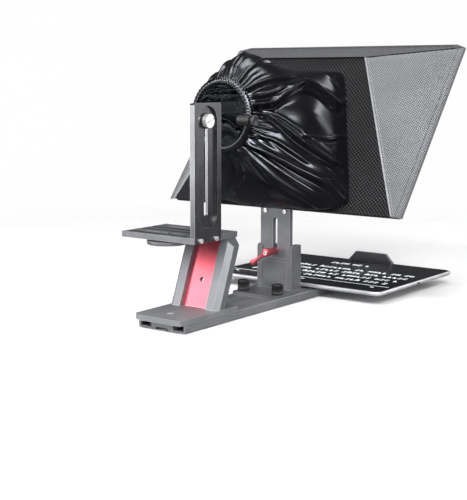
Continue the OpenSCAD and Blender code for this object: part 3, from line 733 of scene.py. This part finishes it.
# Folds that run out of the gather. Each has its stations (t, degrees) from the mouth towards the
# seam, its height and half-width (mm), and how far its crest leans over downwards.
FOLDS = [
    ([(1.00, 46), (0.90, 44), (0.78, 43), (0.66, 43), (0.54, 45)], 3.8, 3.2, 0.4),
    ([(1.00, 31), (0.88, 30), (0.76, 32), (0.66, 36)], 3.2, 2.6, 0.3),
    ([(1.00, 24), (0.88, 24), (0.76, 27)], 2.6, 2.2, 0.2),
    ([(1.00, 18), (0.82, 20), (0.72, 28), (0.54, 38), (0.44, 38), (0.26, 30), (0.10, 25),
      (0.00, 29)], 8.0, 4.8, 0.7),
    ([(0.22, 47), (0.12, 41), (0.04, 34)], 3.5, 3.5, 0.2),
    ([(1.00, 6), (0.86, 4), (0.68, -10), (0.56, -16), (0.32, -22), (0.12, -24)], 7.0, 3.6, 0.9),
    ([(0.92, 11), (0.80, 7), (0.70, 1), (0.60, -6), (0.50, -12)], 3.2, 2.4, 0.3),
    ([(0.56, -9), (0.44, -13), (0.30, -17), (0.16, -19)], 2.6, 3.2, 0.3),
    ([(0.62, -12), (0.50, -9), (0.40, -8), (0.32, -7), (0.24, -6), (0.14, -2), (0.00, 0)],
     2.4, 2.0, 0.3),
    ([(1.00, -12), (0.90, -13), (0.80, -13)], 2.4, 2.0, 0.3),
    ([(1.00, -32), (0.92, -27), (0.82, -24), (0.66, -27), (0.48, -30)], 3.2, 3.2, 0.4),
    ([(1.00, -46), (0.84, -40), (0.58, -38), (0.26, -38), (0.00, -43)], 8.0, 3.8, 0.8),
    ([(0.96, -50), (0.80, -48), (0.60, -46), (0.44, -45), (0.30, -45)], 3.0, 3.4, 0.4),
    ([(0.94, -56), (0.84, -55), (0.66, -54), (0.50, -52), (0.24, -51), (0.12, -52)],
     5.0, 4.6, 0.5),
    ([(0.92, -82), (0.76, -84), (0.64, -97), (0.50, -106)], 6.5, 5.0, 0.5),
    ([(1.00, 64), (0.86, 65), (0.72, 68), (0.60, 71)], 2.4, 2.8, 0.4),
    ([(1.00, 86), (0.82, 90), (0.66, 98), (0.52, 104)], 2.2, 3.4, 0.4),
    ([(1.00, 108), (0.80, 112), (0.56, 118), (0.34, 120)], 2.8, 4.0, 0.5),
    ([(1.00, 130), (0.80, 132), (0.50, 136), (0.20, 134)], 5.0, 5.0, 0.6),
    ([(1.00, 147), (0.80, 148), (0.50, 150), (0.22, 146)], 5.0, 4.4, -0.5),
    ([(1.00, 171), (0.78, 168), (0.50, 174), (0.24, 172), (0.04, 176)], 7.0, 4.6, -0.7),
    ([(1.00, 196), (0.80, 194), (0.50, 192), (0.24, 190)], 5.0, 4.0, -0.5),
    ([(1.00, 216), (0.80, 219), (0.50, 221), (0.20, 222), (0.00, 224)], 7.0, 4.2, -0.7),
    ([(1.00, 240), (0.80, 240), (0.54, 238), (0.30, 236)], 4.5, 4.6, -0.4),
]
# Loose swells between the folds: where (t, degrees), how wide each way, and height (mm)
SWELLS = [
    (0.52, 11, 0.18, 12, 6.0), (0.30, -31, 0.16, 7, 4.5), (0.16, -58, 0.14, 9, 4.0),
    (0.50, -66, 0.22, 16, 4.0), (0.70, 92, 0.18, 24, 3.0), (0.40, 160, 0.20, 12, 5.0),
    (0.40, 206, 0.20, 12, 5.0),
]
PLEATS, FINE_PLEATS = 23, 66


def wrapped(angle):
    """The angle brought to -180..180 degrees."""
    return (angle + 180) % 360 - 180


def smooth_between(values, k, x):
    """The smooth curve through values, a share x of the way from the k-th to the next."""
    last = len(values) - 1
    a0, a1 = values[max(0, k - 1)], values[k]
    a2, a3 = values[k + 1], values[min(last, k + 2)]
    return 0.5 * (2 * a1 + (a2 - a0) * x + (2 * a0 - 5 * a1 + 4 * a2 - a3) * x ** 2
                  + (3 * a1 - a0 - 3 * a2 + a3) * x ** 3)


def angle_along(stations, t):
    """A fold's angle at t, on a smooth line through its stations."""
    k = 0
    while k < len(stations) - 2 and stations[k + 1][0] > t:
        k += 1
    before, after = stations[k][0], stations[k + 1][0]
    x = min(1.0, max(0.0, (before - t) / (before - after)))
    return smooth_between([degrees for _, degrees in stations], k, x)


def folds_at(t):
    """The folds that cross the cloth at t, as (degrees, height, half-width, lean)."""
    found = []
    for stations, height, half, lean in FOLDS:
        first, last = stations[0][0], stations[-1][0]
        if not last - 0.08 < t < first + 0.03:
            continue
        ends = smooth_step(t / 0.05) if last < 0.02 else smooth_step((t - last + 0.08) / 0.18)
        if first < 0.99:
            ends *= smooth_step((first + 0.03 - t) / 0.12)
        wide = half / 1000 * (0.5 + 0.5 * smooth_step((1 - t) / 0.5))
        found.append((angle_along(stations, t), height / 1000 * ends, wide, lean))
    return found


def fold_height(angle, folds, reach):
    """How far the folds lift the cloth at an angle (degrees); reach is metres per radian there."""
    lift = 0.0
    for centre, height, wide, lean in folds:
        x = math.radians(wrapped(angle - centre)) * reach / wide
        if abs(x) > 7:
            continue
        steep = x * lean < 0
        y = x * (1 + 0.8 * abs(lean)) if steep else x / (1 + 0.5 * abs(lean))
        crest = math.exp(-1.35 * (math.sqrt(y * y + 0.09) - 0.30))
        hollow = 0.32 * bell(x + math.copysign(2.0, lean), 1.2) + 0.14 * bell(x, 3.4)
        lift += height * (crest - hollow)
    return lift


def swell_height(angle, t):
    """How far the loose swells lift the cloth."""
    lift = 0.0
    for at, degrees, tall, wide, height in SWELLS:
        lift += height / 1000 * bell(t - at, tall) * bell(wrapped(angle - degrees), wide)
    return lift


def pleat_height(angle, t):
    """Radiating pleats that die away from the mouth, uneven in size."""
    a = math.radians(angle)
    uneven = 0.6 + 0.5 * math.sin(3 * a + 0.8) * math.sin(5 * a + 2.1)
    uneven *= 1 - 0.6 * bell(wrapped(angle - 98), 34)
    near = smooth_step((t - 0.74) / 0.26)
    coarse = 0.0013 * uneven * near * math.sin(PLEATS * a + 1.8 * math.sin(2 * a) + 1.5 * (1 - t))
    close = smooth_step((t - 0.80) / 0.2)
    fine = 0.0008 * close * math.sin(FINE_PLEATS * a + 3 * math.sin(4 * a))
    return coarse + fine


def crease_height(angle, t):
    """Sharp little creases that run with the pull of the cord."""
    a = math.radians(angle)
    lift = 0.0
    for spacing, height, seed in ((0.22, 0.0015, 2.0), (0.10, 0.0007, 9.0)):
        place = Vector((math.cos(a) / spacing, math.sin(a) / spacing, 2.2 * t + seed))
        ridge = 1 - 2.4 * abs(noise.noise(place))
        lift += height * ridge * abs(ridge)
    return lift * smooth_step((t - 0.70) / 0.25)


def shroud_point(angle, t, folds):
    """A point of the finished shroud, its folds and pleats included; angle in degrees."""
    a = math.radians(angle)
    p = loft_point(a, t)
    along = loft_point(a, min(1, t + 0.01)) - loft_point(a, max(0, t - 0.01))
    around = loft_point(a + 0.01, t) - loft_point(a - 0.01, t)
    out = around.cross(along).normalized()
    core = Vector((MOUTH.x * t, p.y, SHROUD_MID_Z + (MOUTH.z - SHROUD_MID_Z) * t))
    if out.dot(p - core) < 0:
        out.negate()
    reach = around.length / 0.02
    calm = smooth_step(t / 0.06)
    lift = fold_height(angle, folds, reach) + pleat_height(angle, t)
    lift += crease_height(angle, t) * smooth_step((1 - t) / 0.04)
    loose = swell_height(angle, t) + ripple_at(p, 0.055, 0.0016, 3.0)
    return p + out * (lift + calm * smooth_step((1 - t) / 0.1) * loose)


# The gathered channel around the mouth, as (forward, outward) steps from the mouth's rim
CHANNEL = [(0.0000, 0.0004), (-0.0012, 0.0034), (-0.0036, 0.0048), (-0.0062, 0.0040),
           (-0.0078, 0.0012), (-0.0080, -0.0014), (-0.0066, -0.0030), (-0.0040, -0.0036)]


def make_shroud(cloth):
    """Gathered satin sleeve: seam ring, folded body, gathered channel around the draw cord."""
    across, body_rows = 480, 88
    rings = body_rows + 1 + len(CHANNEL)
    angles = [360 * i / across for i in range(across)]
    points = []
    for j in range(body_rows + 1):
        t = j / body_rows
        folds = folds_at(t)
        points += [shroud_point(angle, t, folds) for angle in angles]
    for p in points[:across]:
        p.y = rear_plane_y(p.z) + 0.0004
    for forward, outward in CHANNEL:
        for angle in angles:
            a = math.radians(angle)
            frill = math.sin(FINE_PLEATS * a + 3 * math.sin(4 * a))
            bead = 0.0011 * frill * smooth_step((outward + 0.001) / 0.004)
            ahead = forward + 0.0010 * frill * (outward > 0)
            points.append(mouth_point(a, MOUTH_R + outward + bead) + Vector((0, ahead, 0)))
    faces = [(a, d, c, b) for a, b, c, d in band_faces(rings, across)]
    around, row = 0.75, 0.0022
    uvs = [(around * i / across, row * j) for j in range(rings) for i in range(across)]
    shroud = link_mesh("lens_shroud_cloth", points, faces, uvs)
    solidify(shroud, SHROUD_T, even=False)
    settle(shroud, cloth, "hood", "shroud_satin", "lens_shroud")


def rear_outline(angle):
    """The rear panel's edge; each of its four sides takes 90 degrees."""
    corners = [REAR_LOW, REAR_HIGH, mirrored(REAR_HIGH), mirrored(REAR_LOW)]
    side, rest = divmod((angle + 45) % 360, 90)
    start, end = corners[int(side)], corners[(int(side) + 1) % 4]
    return start.lerp(end, (math.tan(math.radians(rest - 45)) + 1) / 2)


def make_rear_panel(cloth, lining):
    """The black rear panel: a flat-cut ring of cloth between the hood's edge and the shroud."""
    across, steps = 160, 14
    points = []
    for j in range(steps + 1):
        # Below 0 the cloth is the hem behind the shroud's seam
        s = (1 + REAR_HEM) * j / steps - REAR_HEM
        for i in range(across):
            angle = 360 * i / across
            p = seam_point(math.radians(angle)).lerp(rear_outline(angle), s)
            p.y = rear_plane_y(p.z) + 0.0008 * smooth_step(-s / 0.1)
            sink = 0.0018 * math.sin(math.pi * s) + 0.5 * ripple_at(p, 0.05, 0.0012, 7.0)
            points.append(p - REAR_PANEL_OUT * (sink if 0 < s < 1 else 0))
    rise = REAR_HIGH - REAR_LOW
    rise = Vector((0, rise.y, rise.z))
    uvs = [(p.x, p.dot(rise.normalized())) for p in points]
    panel = link_mesh("rear_panel_cloth", points, band_faces(steps + 1, across), uvs)
    face_out(panel, 0, REAR_PANEL_OUT)
    solidify(panel, CLOTH_T).material_offset = 1
    settle(panel, cloth, "hood", "hood_rear_cloth", "hood_rear_panel")
    panel.data.materials.append(material_of(lining))


def make_shroud_seam(cloth):
    """Folded seam where the shroud is sewn to the rear panel."""
    ring = []
    for i in range(240):
        p = seam_point(2 * math.pi * i / 240)
        p.y = rear_plane_y(p.z)
        ring.append(p + REAR_PANEL_OUT * 0.0004)
    settle(tube("shroud_seam_fold", ring, 0.0007, 6, closed=True), cloth, "hood", "shroud_satin")


def curve_through(points, steps):
    """A smooth line through all the points, with steps stretches between two of them."""
    made = [smooth_between(points, k, i / steps) for k in range(len(points) - 1)
            for i in range(steps)]
    return made + [points[-1]]


def make_draw_cord(braid):
    """Braided cord around the mouth, with both ends drawn into the cord lock."""
    lo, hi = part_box("cord_lock_barrel")
    centre = (lo + hi) / 2
    hole = Vector((lo.x + 0.008, centre.y, centre.z))
    ring = []
    for k in range(55):
        a = math.radians(4 + 332 * k / 54)
        ring.append(mouth_point(a, MOUTH_R + 0.0022) + Vector((0, -0.0042, 0)))
    start = [hole + Vector((0, 0, 0.0012)), hole + Vector((0.0004, 0.0072, 0.0018)),
             ring[0] + Vector((0.0006, -0.0036, -0.0030))]
    end = [ring[-1] + Vector((0.0010, -0.0040, 0.0030)), hole + Vector((0.0004, 0.0072, -0.0022)),
           hole + Vector((0, 0, -0.0012))]
    path = polyline(curve_through([*start, *ring, *end], 5), 0.0011)
    cord = tube("draw_cord_braid", path, 0.0012, 8, ripple=lambda k: 1 + 0.10 * (k % 2))
    subdivide(cord)
    settle(cord, braid, "hood", "cord", "draw_cord")


def lathe(name, profile, centre, axis, sides=48, ridge=None, bored=False):
    """A turned shape from (along, radius) pairs; ridge(angle, along) adds to the radius."""
    axis = Vector(axis)
    first = axis.orthogonal().normalized()
    second = axis.cross(first)
    points = []
    for along, radius in profile:
        for s in range(sides):
            a = 2 * math.pi * s / sides
            r = max(0.00001, radius + (ridge(a, along) if ridge else 0))
            points.append(Vector(centre) + axis * along + first * (r * math.cos(a))
                          + second * (r * math.sin(a)))
    faces = band_faces(len(profile), sides, looped=bored)
    return link_mesh(name, points, faces if bored else faces + end_caps(len(profile), sides))


def make_cord_lock(plastic, button_plastic):
    """Ribbed barrel of the cord lock and the button that slides in it."""
    lo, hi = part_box("cord_lock_barrel")
    centre = Vector((lo.x, (lo.y + hi.y) / 2, (lo.z + hi.z) / 2))
    r = (hi.z - lo.z) / 2
    length = hi.x - lo.x
    rings = 5
    profile = [(0, r * 0.62), (0.0008, r * 0.9)]
    step = (length - 0.0032) / rings
    for k in range(rings):
        x = 0.0016 + step * k
        profile += [(x + step * 0.15, r), (x + step * 0.6, r), (x + step * 0.75, r * 0.86),
                    (x + step * 0.95, r * 0.86)]
    profile += [(length - 0.0012, r), (length - 0.0004, r * 0.97), (length, r * 0.90),
                (length, r * 0.80), (length - 0.004, r * 0.79), (length - 0.004, 0.0001)]
    barrel = lathe("cord_lock_ribbed_barrel", profile, centre, (1, 0, 0), 40)
    bevel(barrel, 0.00015, 1, 40)
    settle(barrel, plastic, "cord_lock", "black_plastic", "cord_lock_barrel")
    lo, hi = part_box("cord_lock_button")
    r = (hi.z - lo.z) / 2
    base = Vector((lo.x, centre.y, centre.z))
    long = hi.x - lo.x
    # Its inner end stops short of the cord
    clear = 0.0036
    profile = [(clear, r * 0.72), (long - 0.0042, r * 0.74), (long - 0.0040, r * 0.90),
               (long - 0.0034, r), (long - 0.0010, r), (long - 0.0002, r * 0.92),
               (long - 0.0001, r * 0.80), (long - 0.0006, r * 0.66), (long - 0.0008, 0.0001)]
    button = lathe("cord_lock_press_button", profile, base, (1, 0, 0), 40)
    settle(button, button_plastic, "cord_lock_button", "black_plastic", "cord_lock_button")


# ---------------------------------------------------------------- hardware

def dress_cad_nodes(trees):
    """Gives every CAD node that stays its material, and softens its machined edges."""
    looks = {
        "plate": ["side_plate"],
        "dark": ["tilt_bracket", "frame_bottom_rail", "frame_top_rail", "frame_left_rail",
                 "frame_right_rail", "frame_hinge_lug", "jaw_crossbar", "far_jaw"],
        "rail": ["base_rail", "riser_foot"],
        "bracket": ["near_stop", "column_bracket"],
        "grey": ["riser_frame", "camera_platform", "camera_screw", "column_slider"],
        "red": ["riser_panel"],
        "steel": ["tripod_insert", "clamp_nuts", "riser_lock_screw", "riser_lock_nut",
                  "side_plate_screws", "side_camera_screw", "lock_bolt", "slider_screws",
                  "tilt_pin", "guide_rods"],
        "plastic": ["rod_bushes", "camera_screw_washer", "side_screw_washer", "frame_corners"],
        "rubber": ["near_stop_pad", "rest_pads", "platform_pads", "glass_gasket", "jaw_pad"],
        "glass": ["beam_splitter"],
        "electronics": ["tablet_battery", "tablet_board"],
        "screen": ["tablet_display"],
        "tablet": ["power_button", "volume_button"],
    }
    machined_edge = 0.0005
    finer_edges = {"red": 0.0004, "steel": 0.00025, "plastic": 0.0003, "rubber": 0.0003,
                   "glass": 0.0002, "electronics": 0.0004, "screen": 0.0002, "tablet": 0.0003}
    for look, names in looks.items():
        for name in names:
            finish_with(nodes[name], trees[look])
            bevel(nodes[name], finer_edges.get(look, machined_edge))


def make_springs(steel_tree):
    """Wound tension springs between the rail's inside and the jaw's guide rods."""
    for side in ("left", "right"):
        lo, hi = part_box(f"jaw_spring_{side}")
        centre = (lo + hi) / 2
        wire, turns, per_turn, end_gap = 0.0005, 26, 14, 0.001
        radius = (hi.x - lo.x) / 2 - wire
        path = []
        for k in range(turns * per_turn + 1):
            a = 2 * math.pi * k / per_turn
            y = lo.y + end_gap + (hi.y - lo.y - 2 * end_gap) * k / (turns * per_turn)
            path.append(Vector((centre.x + radius * math.cos(a), y, centre.z + radius * math.sin(a))))
        coil = tube(f"jaw_spring_coil_{side}", path, wire, 6)
        finish_with(coil, steel_tree)
        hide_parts(f"jaw_spring_{side}")
        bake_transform(coil)


def make_clamp_knobs(plastic):
    """Knurled thumb knobs with a dished top and the end of the stud in it."""
    for side in ("left", "right"):
        lo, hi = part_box(f"clamp_knob_{side}")
        centre = Vector(((lo.x + hi.x) / 2, (lo.y + hi.y) / 2, 0))
        r = (hi.x - lo.x) / 2
        head = hi.z - 0.0136

        def ridge(angle, along):
            inside = head + 0.0022 < along < head + 0.0118
            return 0.00035 * (math.cos(36 * angle) - 1) if inside else 0

        profile = [(lo.z, 0.0022), (head - 0.0003, 0.0022), (head, r * 0.55), (head, r * 0.93),
                   (head + 0.0010, r), (head + 0.0020, r), (head + 0.0024, r), (head + 0.0070, r),
                   (head + 0.0116, r), (head + 0.0120, r), (head + 0.0128, r * 0.98),
                   (head + 0.0136, r * 0.88), (head + 0.0136, r * 0.72), (head + 0.0128, r * 0.64),
                   (head + 0.0126, r * 0.34), (head + 0.0131, r * 0.30), (head + 0.0131, 0.0001)]
        knob = lathe(f"knurled_knob_{side}", profile, centre, (0, 0, 1), 216, ridge)
        settle(knob, plastic, f"knob_{side}", "black_plastic", f"clamp_knob_{side}")


def make_lever(red_tree):
    """Red clamping lever: a turned hub with a waisted arm that ends in a thumb pad."""
    lo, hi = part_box("lock_lever")
    bolt_lo, bolt_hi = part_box("lock_bolt")
    axis = (bolt_lo + bolt_hi) / 2
    front, deep = lo.y, hi.y - lo.y
    profile = [(0, 0.0031), (0, 0.0052), (0.0006, 0.0058), (0.0062, 0.0058), (0.0070, 0.0053),
               (0.0074, 0.0048), (deep - 0.0012, 0.0048), (deep - 0.0004, 0.0044),
               (deep, 0.0036), (deep, 0.0031)]
    hub = lathe("lever_hub", profile, (axis.x, front, axis.z), (0, 1, 0), 56, bored=True)
    fix_normals(hub)
    bevel(hub, 0.0002, 2, 50)
    settle(hub, red_tree, "lock_lever", "anodised_red", "lock_lever")
    angle = math.radians(-145)
    direction = Vector((math.cos(angle), 0, math.sin(angle)))
    across = direction.cross(Vector((0, 1, 0))).normalized()
    # Distance from the bolt, half-width and half-thickness
    stations = [(0.0040, 0.0046, 0.0020), (0.0075, 0.0032, 0.0018), (0.012, 0.0021, 0.0017),
                (0.018, 0.0020, 0.0017), (0.0225, 0.0029, 0.0020), (0.0265, 0.0042, 0.0024),
                (0.0295, 0.0040, 0.0024), (0.0309, 0.0026, 0.0017)]
    sides = 20
    points = []
    middle = Vector((axis.x, front + 0.0038, axis.z))
    for along, half, thick in stations:
        for c, s in circle(sides):
            points.append(middle + direction * along + across * (half * squared(c))
                          + Vector((0, thick * squared(s), 0)))
    rings = len(stations)
    arm = link_mesh("lever_arm", points, band_faces(rings, sides) + end_caps(rings, sides))
    fix_normals(arm)
    subdivide(arm, 2)
    settle(arm, red_tree, "lock_lever", "anodised_red")


def squared(x):
    """Bends a circle's sine or cosine towards a square's."""
    return math.copysign(abs(x) ** 0.6, x)


def fix_normals(obj):
    """Turns all faces of a closed piece outwards."""
    mesh = bmesh.new()
    mesh.from_mesh(obj.data)
    bmesh.ops.recalc_face_normals(mesh, faces=mesh.faces)
    mesh.to_mesh(obj.data)
    mesh.free()


# ---------------------------------------------------------------- tablet

def outline(half_x, y0, y1, r):
    """A rounded rectangle as (x, y) pairs, anticlockwise."""
    made = []
    steps = 10
    for cx, cy, start in ((half_x - r, y1 - r, 0), (-half_x + r, y1 - r, 90),
                          (-half_x + r, y0 + r, 180), (half_x - r, y0 + r, 270)):
        for k in range(steps + 1):
            a = math.radians(start + 90 * k / steps)
            made.append((cx + r * math.cos(a), cy + r * math.sin(a)))
    return made


def stacked(name, sections, half, y0, y1, r):
    """A closed shell through rounded rectangles at (inset, height)."""
    points = []
    for inset, z in sections:
        ring = outline(half - inset, y0 + inset, y1 - inset, r - inset)
        points += [Vector((x, y, z)) for x, y in ring]
    rings, count = len(sections), len(ring)
    return link_mesh(name, points, band_faces(rings, count) + end_caps(rings, count))


def make_tablet(metal_tree, screen_tree, port_tree, ink_tree):
    """Tablet shell with a rounded rim, an edge port, its cover glass and script on the screen."""
    lo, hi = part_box("tablet_shell")
    shape = (hi.x, lo.y, hi.y, 0.012)
    centre = (lo + hi) / 2
    sections = [(0.0034, lo.z + 0.00002), (0.0018, lo.z + 0.0004), (0.0006, lo.z + 0.0014),
                (0.0000, centre.z - 0.0002), (0.0003, hi.z - 0.0012), (0.0011, hi.z - 0.0003),
                (0.0018, hi.z), (0.0026, hi.z), (0.0028, hi.z - 0.0006), (0.0028, hi.z - 0.0016)]
    shell = stacked("tablet_body_shell", sections, *shape)
    settle(shell, metal_tree, "tablet", "tablet_metal", "tablet_shell")
    bevel(shell, 0.0002, 2, 35)
    edge = 0.0029
    sections = [(edge, hi.z - 0.0010), (edge, hi.z - 0.0002), (edge + 0.0003, hi.z + 0.00005)]
    glass = stacked("tablet_cover_glass", sections, *shape)
    settle(glass, screen_tree, "tablet", "tablet_screen", "tablet_glass")

    straight_half, end_r, sides = 0.0030, 0.0013, 16
    rim = []
    for c, s in circle(sides):
        y = math.copysign(straight_half, c) + end_r * c
        rim.append(Vector((hi.x + 0.00008, centre.y + y, centre.z + end_r * s)))
    inner = [p - Vector((0.0010, 0, 0)) for p in rim]
    faces = [tuple(range(sides))] + band_faces(2, sides)
    settle(link_mesh("tablet_port", rim + inner, faces), port_tree, "tablet", "black_plastic")
    make_script(hi.z + 0.00005, ink_tree)


INK_T = 0.00004


def bar_block(points, faces, x, y, wide, deep, z):
    """A low raised mark on the screen."""
    base = len(points)
    cut = min(wide, deep) * 0.3
    ring = [(x + cut, y), (x + wide - cut, y), (x + wide, y + cut), (x + wide, y + deep - cut),
            (x + wide - cut, y + deep), (x + cut, y + deep), (x, y + deep - cut), (x, y + cut)]
    points += [Vector((a, b, height)) for height in (z, z + INK_T) for a, b in ring]
    faces.append(tuple(base + 8 + k for k in range(8)))
    faces += [tuple(base + k for k in face) for face in band_faces(2, 8)]


def make_script(z, ink_tree):
    """Rows of plain blocks where the script would stand, and the thin rule under them."""
    dice = random.Random(7)
    points, faces = [], []

    def mark(x, y, wide, deep):
        bar_block(points, faces, x, y, wide, deep, z)

    right = 0.122
    rows = [(0.264, -0.040, 0.029), (0.226, -0.098, right), (0.2025, -0.112, right),
            (0.179, -0.104, right), (0.1555, -0.110, right)]
    letter, gap, space, stroke = 0.0058, 0.0021, 0.0060, 0.0019
    low_height, high_height = 0.0082, 0.0118
    for y, left, end in rows:
        x = left
        while x < end - letter:
            for _ in range(dice.randint(2, 8)):
                if x > end - letter:
                    break
                tall = high_height if dice.random() < 0.3 else low_height
                kind = dice.random()
                if kind < 0.35:
                    mark(x, y, stroke, tall)
                    mark(x + letter - stroke, y, stroke, low_height)
                elif kind < 0.7:
                    mark(x, y, letter, stroke)
                    mark(x, y + low_height - stroke, letter, stroke)
                else:
                    mark(x, y, letter, low_height * 0.42)
                    mark(x, y + low_height * 0.62, stroke, low_height * 0.4)
                x += letter + gap
            x += space
    mark(-0.131, 0.1372, 0.262, 0.0009)
    for x in (-0.118, -0.004, 0.108):
        mark(x, 0.1262, 0.006, 0.0022)
    script = link_mesh("screen_script", points, faces, smooth=False)
    settle(script, ink_tree, "tablet", "tablet_screen")


def make_ink(name):
    """Lit white marks on the screen."""
    tree, shader = new_material(name)
    tint = blotched(tree, 120, 2, (0.80, 0.82, 0.85), (0.92, 0.93, 0.95))
    feed(tree, shader, {"Base Color": tint, "Roughness": 0.5,
                        "Emission Color": (0.9, 0.93, 1, 1), "Emission Strength": 1.3})
    return tree


# ---------------------------------------------------------------- the whole object

def build():
    make_camera()
    make_studio()
    make_backdrop()
    make_floor()
    trees = {
        "dark": metal("anodised_dark", (0.060, 0.062, 0.068), 0.32, 0.85, edge_wear_and_highlight=6.0),
        "plate": metal("anodised_plate", (0.125, 0.127, 0.134), 0.30, 0.90, edge_wear_and_highlight=6.0),
        "rail": metal("anodised_rail", (0.225, 0.230, 0.242), 0.42, 0.50, edge_wear_and_highlight=5.0),
        "bracket": metal("anodised_bracket", (0.135, 0.138, 0.147), 0.42, 0.50, edge_wear_and_highlight=5.0),
        "grey": metal("anodised_grey", (0.150, 0.154, 0.165), 0.42, 0.50, edge_wear_and_highlight=4.0),
        "red": metal("anodised_red", (0.66, 0.115, 0.15), 0.34, 0.80, mottle=0.05),
        "steel": metal("bright_steel", (0.80, 0.80, 0.79), 0.26, 0.70, grain=900,
                       stretch=(1, 1, 6), edge_wear_and_highlight=0.4),
        "plastic": moulded("black_plastic", (0.012, 0.012, 0.013), 0.36),
        "rubber": moulded("black_rubber", (0.018, 0.018, 0.018), 0.72, grain=500, depth=0.0001),
        "glass": splitter_glass("splitter_glass"),
        "electronics": moulded("electronics", (0.05, 0.11, 0.08), 0.5, grain=300, depth=0.0003),
        "screen": screen_glass("screen_glass"),
        "tablet": metal("tablet_silver", (0.60, 0.605, 0.615), 0.34, 0.55, edge_wear_and_highlight=0.3),
    }
    dress_cad_nodes(trees)
    # The hood's sides and top are one black oxford painted grey as painted light: the sides a light
    # grey lit copy, the top a darker lit copy.
    lit_side_cloth = woven("grey_oxford", (0.028, 0.030, 0.033), (0.33, 0.338, 0.355), 0.0016)
    black_cloth = woven("black_oxford", (0.0002, 0.0002, 0.0003), (0.040, 0.041, 0.044), 0.0026,
                        sheen=0.02, gloss=0.12)
    lining = woven("black_lining", (0.003, 0.003, 0.003), (0.012, 0.012, 0.013), 0.0008)
    pale_thread = moulded("pale_thread", (0.42, 0.43, 0.44), 0.7, grain=2500)
    dark_thread = moulded("dark_thread", (0.008, 0.008, 0.009), 0.7, grain=2500)
    gloss = satin("black_satin", (0.0012, 0.0012, 0.0016), (0.0026, 0.0026, 0.0034))
    braid = moulded("cord_braid", (0.014, 0.014, 0.015), 0.6, grain=1500, depth=0.0003)
    # The top's darker grey is painted light on the black oxford, less lit than the sides.
    lit_top_cloth = woven("dark_grey_oxford", (0.020, 0.021, 0.025), (0.115, 0.119, 0.131), 0.0012,
                      sheen=0.10, gloss=0.3)
    make_hood_wrap(lit_side_cloth, lit_top_cloth, lining)
    make_rear_panel(black_cloth, lining)
    binding = moulded("pale_binding", (0.235, 0.24, 0.25), 0.6, grain=1400, depth=0.0002)
    make_hood_trim(lit_side_cloth, binding, black_cloth, pale_thread, dark_thread)
    make_shroud(gloss)
    make_shroud_seam(braid)
    make_draw_cord(braid)
    button_plastic = moulded("button_plastic", (0.030, 0.031, 0.035), 0.30)
    make_cord_lock(trees["plastic"], button_plastic)
    make_springs(trees["steel"])
    make_clamp_knobs(trees["plastic"])
    make_lever(trees["red"])
    make_tablet(trees["tablet"], trees["screen"], trees["plastic"], make_ink("screen_ink"))


build()
